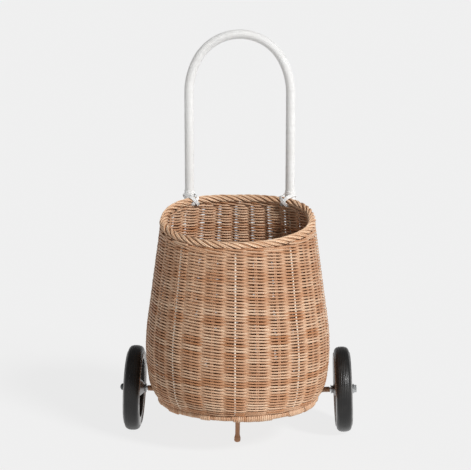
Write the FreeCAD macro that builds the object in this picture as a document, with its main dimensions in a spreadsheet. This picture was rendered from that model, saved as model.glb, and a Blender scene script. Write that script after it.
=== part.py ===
import FreeCAD, Part
import math
import os

import Sketcher

# A pull-along basket: a woven cane basket on a bound foot hoop, two rubber-tyred wheels on a
# bowed steel axle, a peg that holds the front up, and a tall cane-wrapped arch handle.
# +Z is up, the front (the peg's side) faces -Y, and the origin is on the ground under the basket's centre.
# Lengths are millimetres and angles are degrees.

DRIVING_SIZES = {
    # wheels
    "wheel_radius": 63.5,
    "wheel_spread": 155.9,
    "camber": 2.3,
    "tyre_width": 24.0,
    "crown_radius": 30.0,
    "shoulder_radius": 6.0,
    "tread_groove_width": 1.0,
    "tread_groove_depth": 0.7,
    "tread_groove_pitch": 2.6,
    "seat_width": 19.0,
    "seat_radius": 50.0,
    "barrel_radius": 44.0,
    "web_thickness": 5.0,
    "flange_radius": 55.5,
    "flange_thickness": 1.5,
    "flange_lip": 1.4,
    "flange_lip_width": 2.1,
    "flange_lip_slope": 1.0,
    "wheel_gap": 0.1,
    # hubs
    "hub_inner_length": 16.5,
    "hub_outer_length": 14.2,
    "hub_nose_radius": 5.5,
    "hub_nose_length": 1.5,
    "hub_face_radius": 9.0,
    "hub_root_radius": 17.0,
    "hub_flange_radius": 22.0,
    "hub_flange_thickness": 1.0,
    "hub_waist_place": 0.8,
    "hub_clearance": 0.08,
    # axle and its fixings
    "axle_setback": 36.0,
    "rod_radius": 3.0,
    "rod_half_length": 176.2,
    "axle_pole_radius": 4.25,
    "axle_pole_half_length": 136.2,
    "axle_pole_clearance": 0.05,
    "washer_radius": 6.5,
    "washer_thickness": 1.1,
    "end_float": 0.3,
    "fastener_clearance": 0.08,
    "nut_flange_radius": 7.0,
    "nut_flange_thickness": 1.3,
    "nut_flats": 10.0,
    "nut_height": 5.0,
    "cap_radius": 5.0,
    "cap_height": 6.0,
    "cap_side_length": 3.5,
    # basket wall
    "base_height": 66.3,
    "wall_foot": 74.0,
    "belly_radius": 134.6,
    "belly_height": 140.0,
    "belly_arc": 290.0,
    "corner_arc": 52.0,
    "corner_angle": 9.6,
    "taper_angle": 8.0,
    "wall_skin": 4.0,
    "wall_crop": 350.0,
    "fit_gap": 0.05,
    "crop_reach": 200.0,
    "stake_radius": 1.5,
    "stake_count": 26,
    # rim
    "rim_height": 322.7,
    "rim_slant": 9.5,
    "rim_radius": 107.0,
    "border_radius": 6.0,
    "waling_inner_radius": 107.0,
    "waling_outer_radius": 114.3,
    "waling_height": 8.0,
    # base
    "base_radius": 107.9,
    "base_thickness": 3.0,
    "base_stick_radius": 1.5,
    "base_stick_pitch": 4.5,
    "base_stick_count": 4,
    "lower_waling_ledge": 112.0,
    "lower_waling_rise": 4.0,
    # foot hoop
    "hoop_radius": 113.4,
    "hoop_core_radius": 3.4,
    "hoop_bound_radius": 4.25,
    "hoop_gap_angle": 3.2,
    # peg and the pole that holds it
    "peg_setback": -26.0,
    "peg_radius": 3.8,
    "peg_foot_radius": 4.8,
    "peg_foot_height": 9.0,
    "peg_rounding": 1.0,
    "peg_spigot_radius": 2.5,
    "peg_spigot_length": 5.0,
    "cross_pole_half_length": 104.6,
    # handle
    "handle_half_width": 75.8,
    "handle_setback": 96.3,
    "handle_top": 594.8,
    "handle_core_radius": 5.8,
    "handle_wrap_radius": 7.1,
    "handle_crown_radius": 71.8,
    "handle_shoulder_radius": 105.0,
    "wrap_foot": 318.0,
    "leg_bend_height": 300.0,
    "leg_lower_bend_height": 172.0,
    "leg_lower_setback": 120.3,
    "leg_bend_radius": 170.0,
    "leg_foot": 84.0,
    "tie_thickness": 1.1,
    "tie_height": 11.0,
    "tie_upper": 238.0,
    "tie_middle": 146.0,
    "tie_lower": 98.0,
    # rim lashings
    "lashing_thickness": 1.2,
    "lashing_width": 4.6,
    "lashing_angle": 42.0,
    "lashing_play": 0.6,
    # axle ties
    "axle_tie_radius": 4.85,
    "axle_tie_length": 7.0,
    "axle_tie_inner": 88.0,
    "axle_tie_outer": 121.0,
}

doc = FreeCAD.newDocument("PullAlongBasket")
sheet = doc.addObject("Spreadsheet::Sheet", "dims")


def fill_sheet():
    """Writes each driving size beside its name, and gives its cell that name as alias."""
    for row, (name, number) in enumerate(DRIVING_SIZES.items(), start=1):
        sheet.set(f"A{row}", name)
        sheet.set(f"B{row}", str(number))
        sheet.setAlias(f"B{row}", name)
    doc.recompute()


class Size:
    """A size that knows both its number and the sheet formula that gives it."""

    def __init__(self, value, text):
        self.value = value
        self.text = text

    def __add__(self, other):
        other = as_size(other)
        return Size(self.value + other.value, f"({self.text} + {other.text})")

    def __sub__(self, other):
        other = as_size(other)
        return Size(self.value - other.value, f"({self.text} - {other.text})")

    def __mul__(self, other):
        other = as_size(other)
        return Size(self.value * other.value, f"({self.text} * {other.text})")

    def __truediv__(self, other):
        other = as_size(other)
        return Size(self.value / other.value, f"({self.text} / {other.text})")

    def __neg__(self):
        return Size(-self.value, f"(0 - {self.text})")


def as_size(number):
    """A Size from a Size or a plain number."""
    if isinstance(number, Size):
        return number
    return Size(float(number), f"({float(number)})")


def dim(name):
    """The named driving size."""
    return Size(float(sheet.get(name)), f"dims.{name}")


def sine(angle):
    """The sine of an angle in degrees."""
    return Size(math.sin(math.radians(angle.value)), f"sin({angle.text} * 1deg)")


def cosine(angle):
    """The cosine of an angle in degrees."""
    return Size(math.cos(math.radians(angle.value)), f"cos({angle.text} * 1deg)")


def tangent(angle):
    """The tangent of an angle in degrees."""
    return Size(math.tan(math.radians(angle.value)), f"tan({angle.text} * 1deg)")


def arcsine(ratio):
    """The angle, in degrees, whose sine is the ratio."""
    return Size(math.degrees(math.asin(ratio.value)), f"(asin({ratio.text}) / 1deg)")


def root(square):
    """The square root."""
    return Size(math.sqrt(square.value), f"sqrt({square.text})")


ZERO = as_size(0)
FULL_TURN = as_size(360)


# ---- sketches and features


def new_body(name):
    """A body that may hold several separate solids of one kind."""
    body = doc.addObject("PartDesign::Body", name)
    body.Label = name
    body.AllowCompound = True
    return body


def new_sketch(body, name, role, lift=ZERO):
    """A sketch on one of the body's own origin planes, lifted along that plane's normal."""
    sketch = body.newObject("Sketcher::SketchObject", name)
    plane = next(feature for feature in body.Origin.OriginFeatures if feature.Role == role)
    sketch.AttachmentSupport = [(plane, "")]
    sketch.MapMode = "FlatFace"
    sketch.setExpression("AttachmentOffset.Base.z", lift.text)
    return sketch


def bind_constraint(sketch, kind, places, size):
    """Adds a dimension constraint and ties it to the sheet."""
    index = sketch.addConstraint(Sketcher.Constraint(kind, *places, size.value))
    name = f"size{index}"
    sketch.renameConstraint(index, name)
    sketch.setExpression(f"Constraints.{name}", size.text)


def pin_point(sketch, edge, end, x, y):
    """Fixes one end of an edge at x, y from the sketch's origin."""
    bind_constraint(sketch, "DistanceX", (-1, 1, edge, end), x)
    bind_constraint(sketch, "DistanceY", (-1, 1, edge, end), y)


def arc_between(start, end, radius, turn):
    """The short arc from start to end. turn is 1 where it runs anticlockwise and -1 where clockwise."""
    chord = end - start
    side = FreeCAD.Vector(-chord.y, chord.x, 0).normalize()
    height = math.sqrt(radius**2 - (chord.Length / 2) ** 2)
    centre = start + chord * 0.5 + side * height * turn
    bulge = start + chord * 0.5 - side * (radius - height) * turn
    circle = Part.Circle(centre, FreeCAD.Vector(0, 0, 1), radius)
    first, last = (start, end) if turn > 0 else (end, start)
    arc = Part.ArcOfCircle(circle, circle.parameter(first), circle.parameter(last))
    assert arc.toShape().distToShape(Part.Vertex(bulge))[0] < 0.001
    return arc


def draw(sketch, corners, closed=True):
    """Draws a chain of lines and arcs.

    A corner is (x, y), or (x, y, radius, turn) where the edge that leaves it is an arc.
    """
    points = [FreeCAD.Vector(corner[0].value, corner[1].value, 0) for corner in corners]
    edge_count = len(corners) if closed else len(corners) - 1
    last_end = None
    first_start = None
    for i in range(edge_count):
        start, end = points[i], points[(i + 1) % len(points)]
        if len(corners[i]) == 2:
            edge = sketch.addGeometry(Part.LineSegment(start, end), False)
            start_end, end_end = 1, 2
        else:
            radius, turn = corners[i][2:]
            edge = sketch.addGeometry(arc_between(start, end, radius.value, turn), False)
            start_end, end_end = (1, 2) if turn > 0 else (2, 1)
            bind_constraint(sketch, "Radius", (edge,), radius)
        pin_point(sketch, edge, start_end, corners[i][0], corners[i][1])
        if last_end:
            sketch.addConstraint(Sketcher.Constraint("Coincident", *last_end, edge, start_end))
        first_start = first_start or (edge, start_end)
        last_end = (edge, end_end)
    if closed:
        sketch.addConstraint(Sketcher.Constraint("Coincident", *last_end, *first_start))
    else:
        pin_point(sketch, *last_end, corners[-1][0], corners[-1][1])


def draw_circle(sketch, x, y, radius):
    """Draws a circle with its centre at x, y."""
    circle = Part.Circle(FreeCAD.Vector(x.value, y.value, 0), FreeCAD.Vector(0, 0, 1), radius.value)
    edge = sketch.addGeometry(circle, False)
    pin_point(sketch, edge, 3, x, y)
    bind_constraint(sketch, "Radius", (edge,), radius)


def revolve(body, sketch, axis="V_Axis", angle=FULL_TURN, midplane=False):
    """Turns a sketch about one of its own axes."""
    feature = body.newObject("PartDesign::Revolution", f"{body.Name}_turned")
    feature.Profile = sketch
    feature.ReferenceAxis = (sketch, [axis])
    feature.Midplane = midplane
    feature.setExpression("Angle", angle.text)
    body.Tip = feature
    return feature


def pipe(body, profile, path):
    """Sweeps a profile along a path."""
    feature = body.newObject("PartDesign::AdditivePipe", f"{body.Name}_swept")
    feature.Profile = profile
    feature.Spine = (path, [])
    body.Tip = feature
    return feature


def place(thing, x=ZERO, y=ZERO, z=ZERO, axis=(0, 0, 1), angle=None):
    """Puts a sub-part in its place and ties the place to the sheet."""
    turn = FreeCAD.Rotation(FreeCAD.Vector(*axis), angle.value if angle else 0)
    thing.Placement = FreeCAD.Placement(FreeCAD.Vector(x.value, y.value, z.value), turn)
    thing.setExpression("Placement.Base.x", x.text)
    thing.setExpression("Placement.Base.y", y.text)
    thing.setExpression("Placement.Base.z", z.text)
    if angle:
        thing.setExpression("Placement.Rotation.Angle", angle.text)


def turned_body(name, corners, axis="V_Axis"):
    """A body of revolution, from its outline in the XZ plane."""
    body = new_body(name)
    sketch = new_sketch(body, f"{name}_outline", "XZ_Plane")
    draw(sketch, corners)
    revolve(body, sketch, axis)
    return body


# ---- the wall's outline: a corner arc, a belly arc and a straight taper


def wall_side(inset, foot, top):
    """The wall's line, moved inwards by inset, from the height foot up to the height top."""
    belly_arc = dim("belly_arc")
    belly_x = dim("belly_radius") - belly_arc
    belly_z = dim("belly_height")
    corner_x = belly_x + (belly_arc - dim("corner_arc")) * cosine(dim("corner_angle"))
    corner_z = belly_z - (belly_arc - dim("corner_arc")) * sine(dim("corner_angle"))
    corner_radius = dim("corner_arc") - inset
    belly_radius = belly_arc - inset
    foot_drop = corner_z - foot
    foot_x = corner_x + root(corner_radius * corner_radius - foot_drop * foot_drop)
    join_x = belly_x + belly_radius * cosine(dim("corner_angle"))
    join_z = belly_z - belly_radius * sine(dim("corner_angle"))
    taper_x = belly_x + belly_radius * cosine(dim("taper_angle"))
    taper_z = belly_z + belly_radius * sine(dim("taper_angle"))
    top_x = taper_x - (top - taper_z) * tangent(dim("taper_angle"))
    return [
        (foot_x, foot, corner_radius, 1),
        (join_x, join_z, belly_radius, 1),
        (taper_x, taper_z),
        (top_x, top),
    ]


def reverse_chain(chain):
    """The same chain of lines and arcs, drawn from its other end."""
    turned = []
    for i in range(len(chain) - 1, -1, -1):
        x, y = chain[i][:2]
        before = chain[i - 1] if i else None
        if before and len(before) == 4:
            turned.append((x, y, before[2], -before[3]))
        else:
            turned.append((x, y))
    return turned


def crop_to_slant(body):
    """Cuts off what stands above the slanted plane that the rim's waling rests on."""
    below_rim = dim("border_radius") + dim("waling_height") + dim("fit_gap")
    middle = dim("rim_height") - below_rim / cosine(dim("rim_slant"))
    reach = dim("crop_reach")
    rise = reach * tangent(dim("rim_slant"))
    top = dim("wall_crop") + reach
    before = body.Tip
    sketch = new_sketch(body, f"{body.Name}_crop_outline", "YZ_Plane")
    draw(sketch, [(-reach, middle - rise), (reach, middle + rise), (reach, top), (-reach, top)])
    crop = body.newObject("PartDesign::Pocket", f"{body.Name}_crop")
    crop.Profile = sketch
    crop.Type = "ThroughAll"
    crop.Midplane = True
    body.Tip = crop
    doc.recompute()
    assert crop.Shape.Volume < before.Shape.Volume - 1


def make_side_weave():
    """The basket's woven side: a shell of revolution with a slanted top."""
    outside = wall_side(ZERO, dim("wall_foot") + dim("fit_gap"), dim("wall_crop"))
    inside = wall_side(dim("wall_skin"), dim("wall_foot") + dim("fit_gap"), dim("wall_crop"))
    body = turned_body("side_weave", outside + reverse_chain(inside))
    crop_to_slant(body)
    return body


def make_side_stakes():
    """The upright stakes that the side is woven round, each a bent cane of its own."""
    body = new_body("side_stakes")
    inset = dim("wall_skin") + dim("fit_gap") + dim("stake_radius")
    foot = dim("wall_foot") + dim("stake_radius")
    chain = wall_side(inset, foot, dim("wall_crop") - dim("border_radius"))
    top_x, top_z = chain[-1]
    lead_in_top = top_z + dim("border_radius")
    path = new_sketch(body, "side_stakes_path", "XZ_Plane")
    draw(path, [(top_x, lead_in_top)] + reverse_chain(chain), closed=False)
    section = new_sketch(body, "side_stakes_section", "XY_Plane", lead_in_top)
    draw_circle(section, top_x, ZERO, dim("stake_radius"))
    stake = pipe(body, section, path)
    doc.recompute()
    pattern = body.newObject("PartDesign::PolarPattern", "side_stakes_ring")
    pattern.Originals = [stake]
    pattern.Axis = (section, ["N_Axis"])
    pattern.Angle = 360
    pattern.setExpression("Occurrences", dim("stake_count").text)
    body.Tip = pattern
    doc.recompute()
    crop_to_slant(body)
    return body


def make_lower_waling():
    """The close rows round the bottom corner, between the base and the side."""
    outside = wall_side(ZERO, dim("base_height"), dim("wall_crop"))[0]
    shoulder = wall_side(ZERO, dim("wall_foot"), dim("wall_crop"))[0]
    inner = dim("base_radius") + dim("fit_gap")
    corners = [
        (inner, dim("base_height")),
        outside,
        (shoulder[0], shoulder[1]),
        (dim("lower_waling_ledge"), dim("wall_foot")),
        (inner, dim("base_height") + dim("lower_waling_rise")),
    ]
    return turned_body("lower_waling", corners)


def make_upper_waling(lashings):
    """The close rows under the rim, in the rim's slanted plane, cut where the lashings pass through."""
    top = -dim("border_radius")
    foot = top - dim("waling_height")
    inner, outer = dim("waling_inner_radius"), dim("waling_outer_radius")
    rows = turned_body("upper_waling_rows", [(inner, foot), (outer, foot), (outer, top), (inner, top)])
    place(rows, z=dim("rim_height"), axis=(1, 0, 0), angle=dim("rim_slant"))
    waling = doc.addObject("Part::Cut", "upper_waling")
    waling.Label = "upper_waling"
    waling.Base = rows
    waling.Tool = group("rim_lashings", lashings)
    return waling


def make_rim_border():
    """The rolled border on top of the rim, in the rim's slanted plane."""
    border = doc.addObject("Part::Torus", "rim_border")
    border.Label = "rim_border"
    border.setExpression("Radius1", dim("rim_radius").text)
    border.setExpression("Radius2", dim("border_radius").text)
    place(border, z=dim("rim_height"), axis=(1, 0, 0), angle=dim("rim_slant"))
    return border


# ---- the base and what stands under it


def make_base_weave():
    """The woven bottom, a thin round mat."""
    top = dim("base_height") + dim("base_thickness")
    corners = [
        (ZERO, dim("base_height")),
        (dim("base_radius"), dim("base_height")),
        (dim("base_radius"), top),
        (ZERO, top),
    ]
    return turned_body("base_weave", corners)


def make_base_sticks(name, role, layer):
    """Four parallel sticks across the base. layer 0 lies on the mat and layer 1 on the first four."""
    body = new_body(name)
    radius = dim("base_stick_radius") - dim("fit_gap")
    floor = dim("base_height") + dim("base_thickness")
    height = floor + dim("base_stick_radius") * (2 * layer + 1)
    sketch = new_sketch(body, f"{name}_sections", role)
    count = int(dim("base_stick_count").value)
    for i in range(count):
        across = dim("base_stick_pitch") * (i - (count - 1) / 2)
        draw_circle(sketch, across, height, radius)
    pad = body.newObject("PartDesign::Pad", f"{name}_length")
    pad.Profile = sketch
    pad.Midplane = True
    half_width = dim("base_stick_pitch") * (count / 2)
    half = root(dim("base_radius") * dim("base_radius") - half_width * half_width)
    pad.setExpression("Length", (half * 2).text)
    body.Tip = pad
    return body


def hoop_crossing():
    """The angle, from +X towards +Y, at which the axle crosses the foot hoop."""
    return arcsine(dim("axle_setback") / dim("hoop_radius"))


def make_hoop_piece(name, radii, start, sweep):
    """A piece of the foot hoop: one radius makes a cane, two make the binding round it."""
    body = new_body(name)
    sketch = new_sketch(body, f"{name}_section", "XZ_Plane")
    for radius in radii:
        draw_circle(sketch, dim("hoop_radius"), ZERO, radius)
    revolve(body, sketch, angle=sweep)
    place(body, z=dim("base_height") - dim("hoop_bound_radius"), angle=start)
    return body


def make_foot_hoops():
    """The cane hoop under the base in two lengths, which meet at the axle, each with its binding."""
    gap = dim("hoop_gap_angle")
    crossing = hoop_crossing()
    rear_start = crossing + gap
    rear_sweep = as_size(180) - rear_start * 2
    front_start = as_size(180) - crossing + gap
    front_sweep = as_size(180) + crossing * 2 - gap * 2
    core, bound = dim("hoop_core_radius"), dim("hoop_bound_radius")
    return [
        make_hoop_piece("foot_hoop_rear", [core], rear_start, rear_sweep),
        make_hoop_piece("foot_hoop_front", [core], front_start, front_sweep),
        make_hoop_piece("foot_binding_rear", [core, bound], rear_start, rear_sweep),
        make_hoop_piece("foot_binding_front", [core, bound], front_start, front_sweep),
    ]


def make_cross_pole():
    """The pole under the base that carries the peg, bored for the peg's spigot."""
    level = dim("base_height") - dim("hoop_bound_radius")
    body = new_body("peg_cross_pole")
    section = new_sketch(body, "peg_cross_pole_section", "YZ_Plane")
    draw_circle(section, dim("peg_setback"), level, dim("hoop_bound_radius"))
    pad = body.newObject("PartDesign::Pad", "peg_cross_pole_length")
    pad.Profile = section
    pad.Midplane = True
    pad.setExpression("Length", (dim("cross_pole_half_length") * 2).text)
    body.Tip = pad
    doc.recompute()
    mouth = new_sketch(body, "peg_cross_pole_bore_outline", "XY_Plane")
    draw_circle(mouth, ZERO, dim("peg_setback"), dim("peg_spigot_radius") + dim("fit_gap"))
    bore = body.newObject("PartDesign::Pocket", "peg_cross_pole_bore")
    bore.Profile = mouth
    bore.Reversed = True
    bore.Type = "Length"
    bore.setExpression("Length", (peg_shoulder() + dim("peg_spigot_length")).text)
    body.Tip = bore
    doc.recompute()
    assert bore.Shape.Volume < pad.Shape.Volume - 1
    return body


def peg_shoulder():
    """The height at which the peg meets its pole."""
    return dim("base_height") - dim("hoop_bound_radius") * 2


def make_peg():
    """The turned peg that the basket rests on in front, with a fuller foot and a spigot on top."""
    shoulder = peg_shoulder() - dim("fit_gap")
    foot = dim("peg_foot_radius")
    rounding = dim("peg_rounding")
    corners = [
        (ZERO, ZERO),
        (foot - rounding, ZERO),
        (foot, rounding),
        (foot, dim("peg_foot_height") - rounding),
        (dim("peg_radius"), dim("peg_foot_height") + rounding),
        (dim("peg_radius"), shoulder),
        (dim("peg_spigot_radius"), shoulder),
        (dim("peg_spigot_radius"), shoulder + dim("peg_spigot_length") - dim("fit_gap")),
        (ZERO, shoulder + dim("peg_spigot_length") - dim("fit_gap")),
    ]
    peg = turned_body("front_peg", corners)
    place(peg, y=dim("peg_setback"))
    return peg


# ---- axle: a shallow bow, lowest in the middle, so that its ends rise outwards by the camber


def wheel_centre_height():
    """The height of a tilted wheel's centre when its rounded tread touches the ground."""
    crown = dim("crown_radius")
    return (dim("wheel_radius") - crown) * cosine(dim("camber")) + crown


def bow_radius():
    """The radius of the axle's bow."""
    return dim("wheel_spread") / sine(dim("camber"))


def axle_middle_height():
    """The height of the axle's lowest point, half way between the wheels."""
    radius = bow_radius()
    return wheel_centre_height() - radius + radius * cosine(dim("camber"))


def make_bowed(name, radii, half_length):
    """A bowed rod of one radius, or a bowed tube of two, along the axle's line."""
    body = new_body(name)
    sketch = new_sketch(body, f"{name}_section", "YZ_Plane")
    middle = axle_middle_height()
    for radius in radii:
        draw_circle(sketch, dim("axle_setback"), middle, radius)
    centre = middle + bow_radius()
    line = Part.LineSegment(
        FreeCAD.Vector(0, centre.value, 0), FreeCAD.Vector(dim("axle_setback").value, centre.value, 0)
    )
    edge = sketch.addGeometry(line, True)
    pin_point(sketch, edge, 1, ZERO, centre)
    pin_point(sketch, edge, 2, dim("axle_setback"), centre)
    sweep = arcsine(half_length / bow_radius()) * 2
    revolve(body, sketch, "Axis0", sweep, midplane=True)
    return body


def make_axle():
    """The steel rod, and the bound cane pole round it between the wheels."""
    bore = dim("rod_radius") + dim("axle_pole_clearance")
    return [
        make_bowed("axle_rod", [dim("rod_radius")], dim("rod_half_length")),
        make_bowed("axle_pole", [bore, dim("axle_pole_radius")], dim("axle_pole_half_length")),
    ]


def make_axle_ties():
    """Four cane ties round the axle pole, one on each side of each place where it crosses the hoop."""
    ties = []
    for side in (-1, 1):
        for label, distance in (("inner", dim("axle_tie_inner")), ("outer", dim("axle_tie_outer"))):
            name = f"axle_tie_{label}_{'left' if side < 0 else 'right'}"
            half = dim("axle_tie_length") / 2
            inner = dim("axle_pole_radius") + dim("fit_gap")
            outer = dim("axle_tie_radius")
            tie = turned_body(name, [(-half, inner), (half, inner), (half, outer), (-half, outer)], "H_Axis")
            slope = arcsine(distance / bow_radius())
            height = axle_middle_height() + bow_radius() - bow_radius() * cosine(slope)
            place(tie, distance * side, dim("axle_setback"), height, (0, 1, 0), slope * -side)
            ties.append(tie)
    return group("axle_ties", ties)


def group(name, members):
    """One node of several separate solids."""
    compound = doc.addObject("Part::Compound", name)
    compound.Label = name
    compound.Links = members
    return compound


# ---- wheels: each is drawn about its own centre with its outer face towards side


def to_wheel(thing, side):
    """Puts a piece drawn about the wheel's centre on that side's end of the axle."""
    place(
        thing,
        dim("wheel_spread") * side,
        dim("axle_setback"),
        wheel_centre_height(),
        (0, 1, 0),
        dim("camber") * -side,
    )


def make_tyre(name, side):
    """A solid rubber tyre with a rounded tread and fine grooves round it."""
    half = dim("tyre_width") / 2
    seat = dim("seat_width") / 2 - dim("wheel_gap")
    bottom = dim("seat_radius") + dim("fit_gap")
    ledge = dim("flange_radius") + dim("wheel_gap")
    crown, shoulder = dim("crown_radius"), dim("shoulder_radius")
    crown_height = dim("wheel_radius") - crown
    shoulder_x = half - shoulder
    shoulder_reach = crown - shoulder
    shoulder_height = crown_height + root(shoulder_reach * shoulder_reach - shoulder_x * shoulder_x)
    tangent_x = shoulder_x * crown / shoulder_reach
    tangent_y = crown_height + (shoulder_height - crown_height) * crown / shoulder_reach
    corners = [
        (-seat, bottom),
        (seat, bottom),
        (seat, ledge),
        (half, ledge),
        (half, shoulder_height, shoulder, 1),
        (tangent_x, tangent_y, crown, 1),
        (-tangent_x, tangent_y, shoulder, 1),
        (-half, shoulder_height),
        (-half, ledge),
        (-seat, ledge),
    ]
    body = turned_body(name, corners, "H_Axis")
    doc.recompute()
    full = body.Shape.Volume
    sketch = new_sketch(body, f"{name}_groove_outline", "XZ_Plane")
    for i in range(-2, 3):
        centre = dim("tread_groove_pitch") * i
        left = centre - dim("tread_groove_width") / 2
        right = centre + dim("tread_groove_width") / 2
        reach = as_size(abs(i)) * dim("tread_groove_pitch")
        surface = crown_height + root(crown * crown - reach * reach)
        deep = surface - dim("tread_groove_depth")
        clear = dim("wheel_radius") + dim("tread_groove_depth")
        draw(sketch, [(left, deep), (right, deep), (right, clear), (left, clear)])
    groove = body.newObject("PartDesign::Groove", f"{name}_grooves")
    groove.Profile = sketch
    groove.ReferenceAxis = (sketch, ["H_Axis"])
    groove.Angle = 360
    body.Tip = groove
    doc.recompute()
    assert body.Shape.Volume < full - 1
    to_wheel(body, side)
    return body


def make_wheel_disc(name, side):
    """The wheel's dished centre: a barrel under the tyre and a web half way across it."""
    half = dim("seat_width") / 2 - dim("wheel_gap")
    web = dim("web_thickness") / 2
    hole = dim("hub_root_radius") + dim("fit_gap")
    barrel, seat = dim("barrel_radius"), dim("seat_radius")
    corners = [
        (-half, barrel),
        (-web, barrel),
        (-web, hole),
        (web, hole),
        (web, barrel),
        (half, barrel),
        (half, seat),
        (-half, seat),
    ]
    body = turned_body(name, corners, "H_Axis")
    to_wheel(body, side)
    return body


def make_flange(name, side, face):
    """The pressed ring that holds one side of the tyre. face is 1 on the outer side and -1 on the inner."""
    near = dim("seat_width") / 2
    plate = near + dim("flange_thickness")
    lip = plate + dim("flange_lip")
    barrel, rim = dim("barrel_radius"), dim("flange_radius")
    lip_width = dim("flange_lip_width")
    out = side * face
    corners = [
        (near * out, barrel),
        (plate * out, barrel),
        (plate * out, rim - lip_width - dim("flange_lip_slope")),
        (lip * out, rim - lip_width),
        (lip * out, rim - lip_width / 2),
        (plate * out, rim),
        (near * out, rim),
    ]
    body = turned_body(name, corners, "H_Axis")
    to_wheel(body, side)
    return body


def make_hub(name, side):
    """The flared steel hub, bored for the axle, with a flange on each side of the web."""
    bore = dim("rod_radius") + dim("hub_clearance")
    web = dim("web_thickness") / 2
    plate = web + dim("hub_flange_thickness")
    corners = [(dim("hub_outer_length") * side, bore), (-dim("hub_inner_length") * side, bore)]
    for out, length in ((-side, dim("hub_inner_length")), (side, dim("hub_outer_length"))):
        cone_start = length - dim("hub_nose_length")
        half_cone = (cone_start + plate) / 2
        half_radius = (dim("hub_face_radius") + dim("hub_root_radius")) / 2
        flare = [
            (length * out, dim("hub_nose_radius")),
            (cone_start * out, dim("hub_nose_radius")),
            ((cone_start - dim("hub_nose_length") * 2) * out, dim("hub_face_radius")),
            (half_cone * dim("hub_waist_place") * out, half_radius),
            (plate * out, dim("hub_root_radius")),
            (plate * out, dim("hub_flange_radius")),
            (web * out, dim("hub_flange_radius")),
            (web * out, dim("hub_root_radius")),
        ]
        corners += flare if out == -side else flare[::-1]
    body = turned_body(name, corners, "H_Axis")
    to_wheel(body, side)
    return body


def make_wheel(side_name, side):
    """All the pieces that turn together at one end of the axle."""
    return [
        make_tyre(f"{side_name}_tyre", side),
        make_wheel_disc(f"{side_name}_wheel_disc", side),
        make_flange(f"{side_name}_inner_flange", side, -1),
        make_flange(f"{side_name}_outer_flange", side, 1),
        make_hub(f"{side_name}_hub", side),
    ]


# ---- axle fixings


def outer_washer_end():
    """How far the outer washer reaches from the wheel's centre."""
    return dim("hub_outer_length") + dim("end_float") + dim("washer_thickness")


def make_washers():
    """A washer on each side of each hub."""
    bore = dim("rod_radius") + dim("fastener_clearance") * 2
    rim = dim("washer_radius")
    washers = []
    for side_name, side in (("left", -1), ("right", 1)):
        inner_near = -(dim("hub_inner_length") + dim("end_float")) * side
        inner_far = inner_near - dim("washer_thickness") * side
        outer_near = (dim("hub_outer_length") + dim("end_float")) * side
        outer_far = outer_washer_end() * side
        for label, near, far in (("inner", inner_near, inner_far), ("outer", outer_near, outer_far)):
            name = f"washer_{label}_{side_name}"
            washer = turned_body(name, [(near, bore), (far, bore), (far, rim), (near, rim)], "H_Axis")
            to_wheel(washer, side)
            washers.append(washer)
    return group("axle_washers", washers)


def make_flange_nut():
    """The hexagonal flange nut on the right end of the axle."""
    body = new_body("right_flange_nut")
    start = outer_washer_end() + dim("fit_gap")
    bore = dim("rod_radius") + dim("fastener_clearance")
    flange = new_sketch(body, "right_flange_nut_flange", "YZ_Plane", start)
    draw_circle(flange, ZERO, ZERO, dim("nut_flange_radius"))
    draw_circle(flange, ZERO, ZERO, bore)
    plate = body.newObject("PartDesign::Pad", "right_flange_nut_plate")
    plate.Profile = flange
    plate.setExpression("Length", dim("nut_flange_thickness").text)
    body.Tip = plate
    doc.recompute()
    outline = new_sketch(body, "right_flange_nut_hexagon", "YZ_Plane", start)
    corner = dim("nut_flats") / 2 / cosine(as_size(30))
    flats = [(corner * cosine(as_size(60 * i)), corner * sine(as_size(60 * i))) for i in range(6)]
    draw(outline, flats)
    draw_circle(outline, ZERO, ZERO, bore)
    hexagon = body.newObject("PartDesign::Pad", "right_flange_nut_body")
    hexagon.Profile = outline
    hexagon.setExpression("Length", dim("nut_height").text)
    body.Tip = hexagon
    to_wheel(body, 1)
    return body


def make_dome_cap():
    """The domed push-on cap that closes the left end of the axle."""
    start = outer_washer_end() + dim("fit_gap")
    tip = start + dim("cap_height") + dim("end_float")
    rod_end = dim("rod_half_length") - dim("wheel_spread") + dim("end_float")
    bore = dim("rod_radius") + dim("fastener_clearance")
    shoulder = start + dim("cap_side_length")
    rise = tip - shoulder
    dome = (rise * rise + dim("cap_radius") * dim("cap_radius")) / (rise * 2)
    corners = [
        (-start, bore),
        (-rod_end, bore),
        (-rod_end, ZERO),
        (-tip, ZERO, dome, -1),
        (-shoulder, dim("cap_radius")),
        (-start, dim("cap_radius")),
    ]
    body = turned_body("left_dome_cap", corners, "H_Axis")
    to_wheel(body, -1)
    return body


# ---- handle: an arch in an upright plane, on legs that lean out behind the basket's belly


def arch_points():
    """The heights and angle of the arch: two shoulder arcs and a crown arc, all tangent."""
    crown, shoulder = dim("handle_crown_radius"), dim("handle_shoulder_radius")
    shoulder_x = dim("handle_half_width") - shoulder
    reach = shoulder - crown
    rise = root(reach * reach - shoulder_x * shoulder_x)
    crown_z = dim("handle_top") - dim("handle_wrap_radius") - crown
    spring_z = crown_z - rise
    join_x = shoulder_x * -1 * crown / reach
    join_z = crown_z + rise * crown / reach
    return spring_z, join_x, join_z


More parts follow.
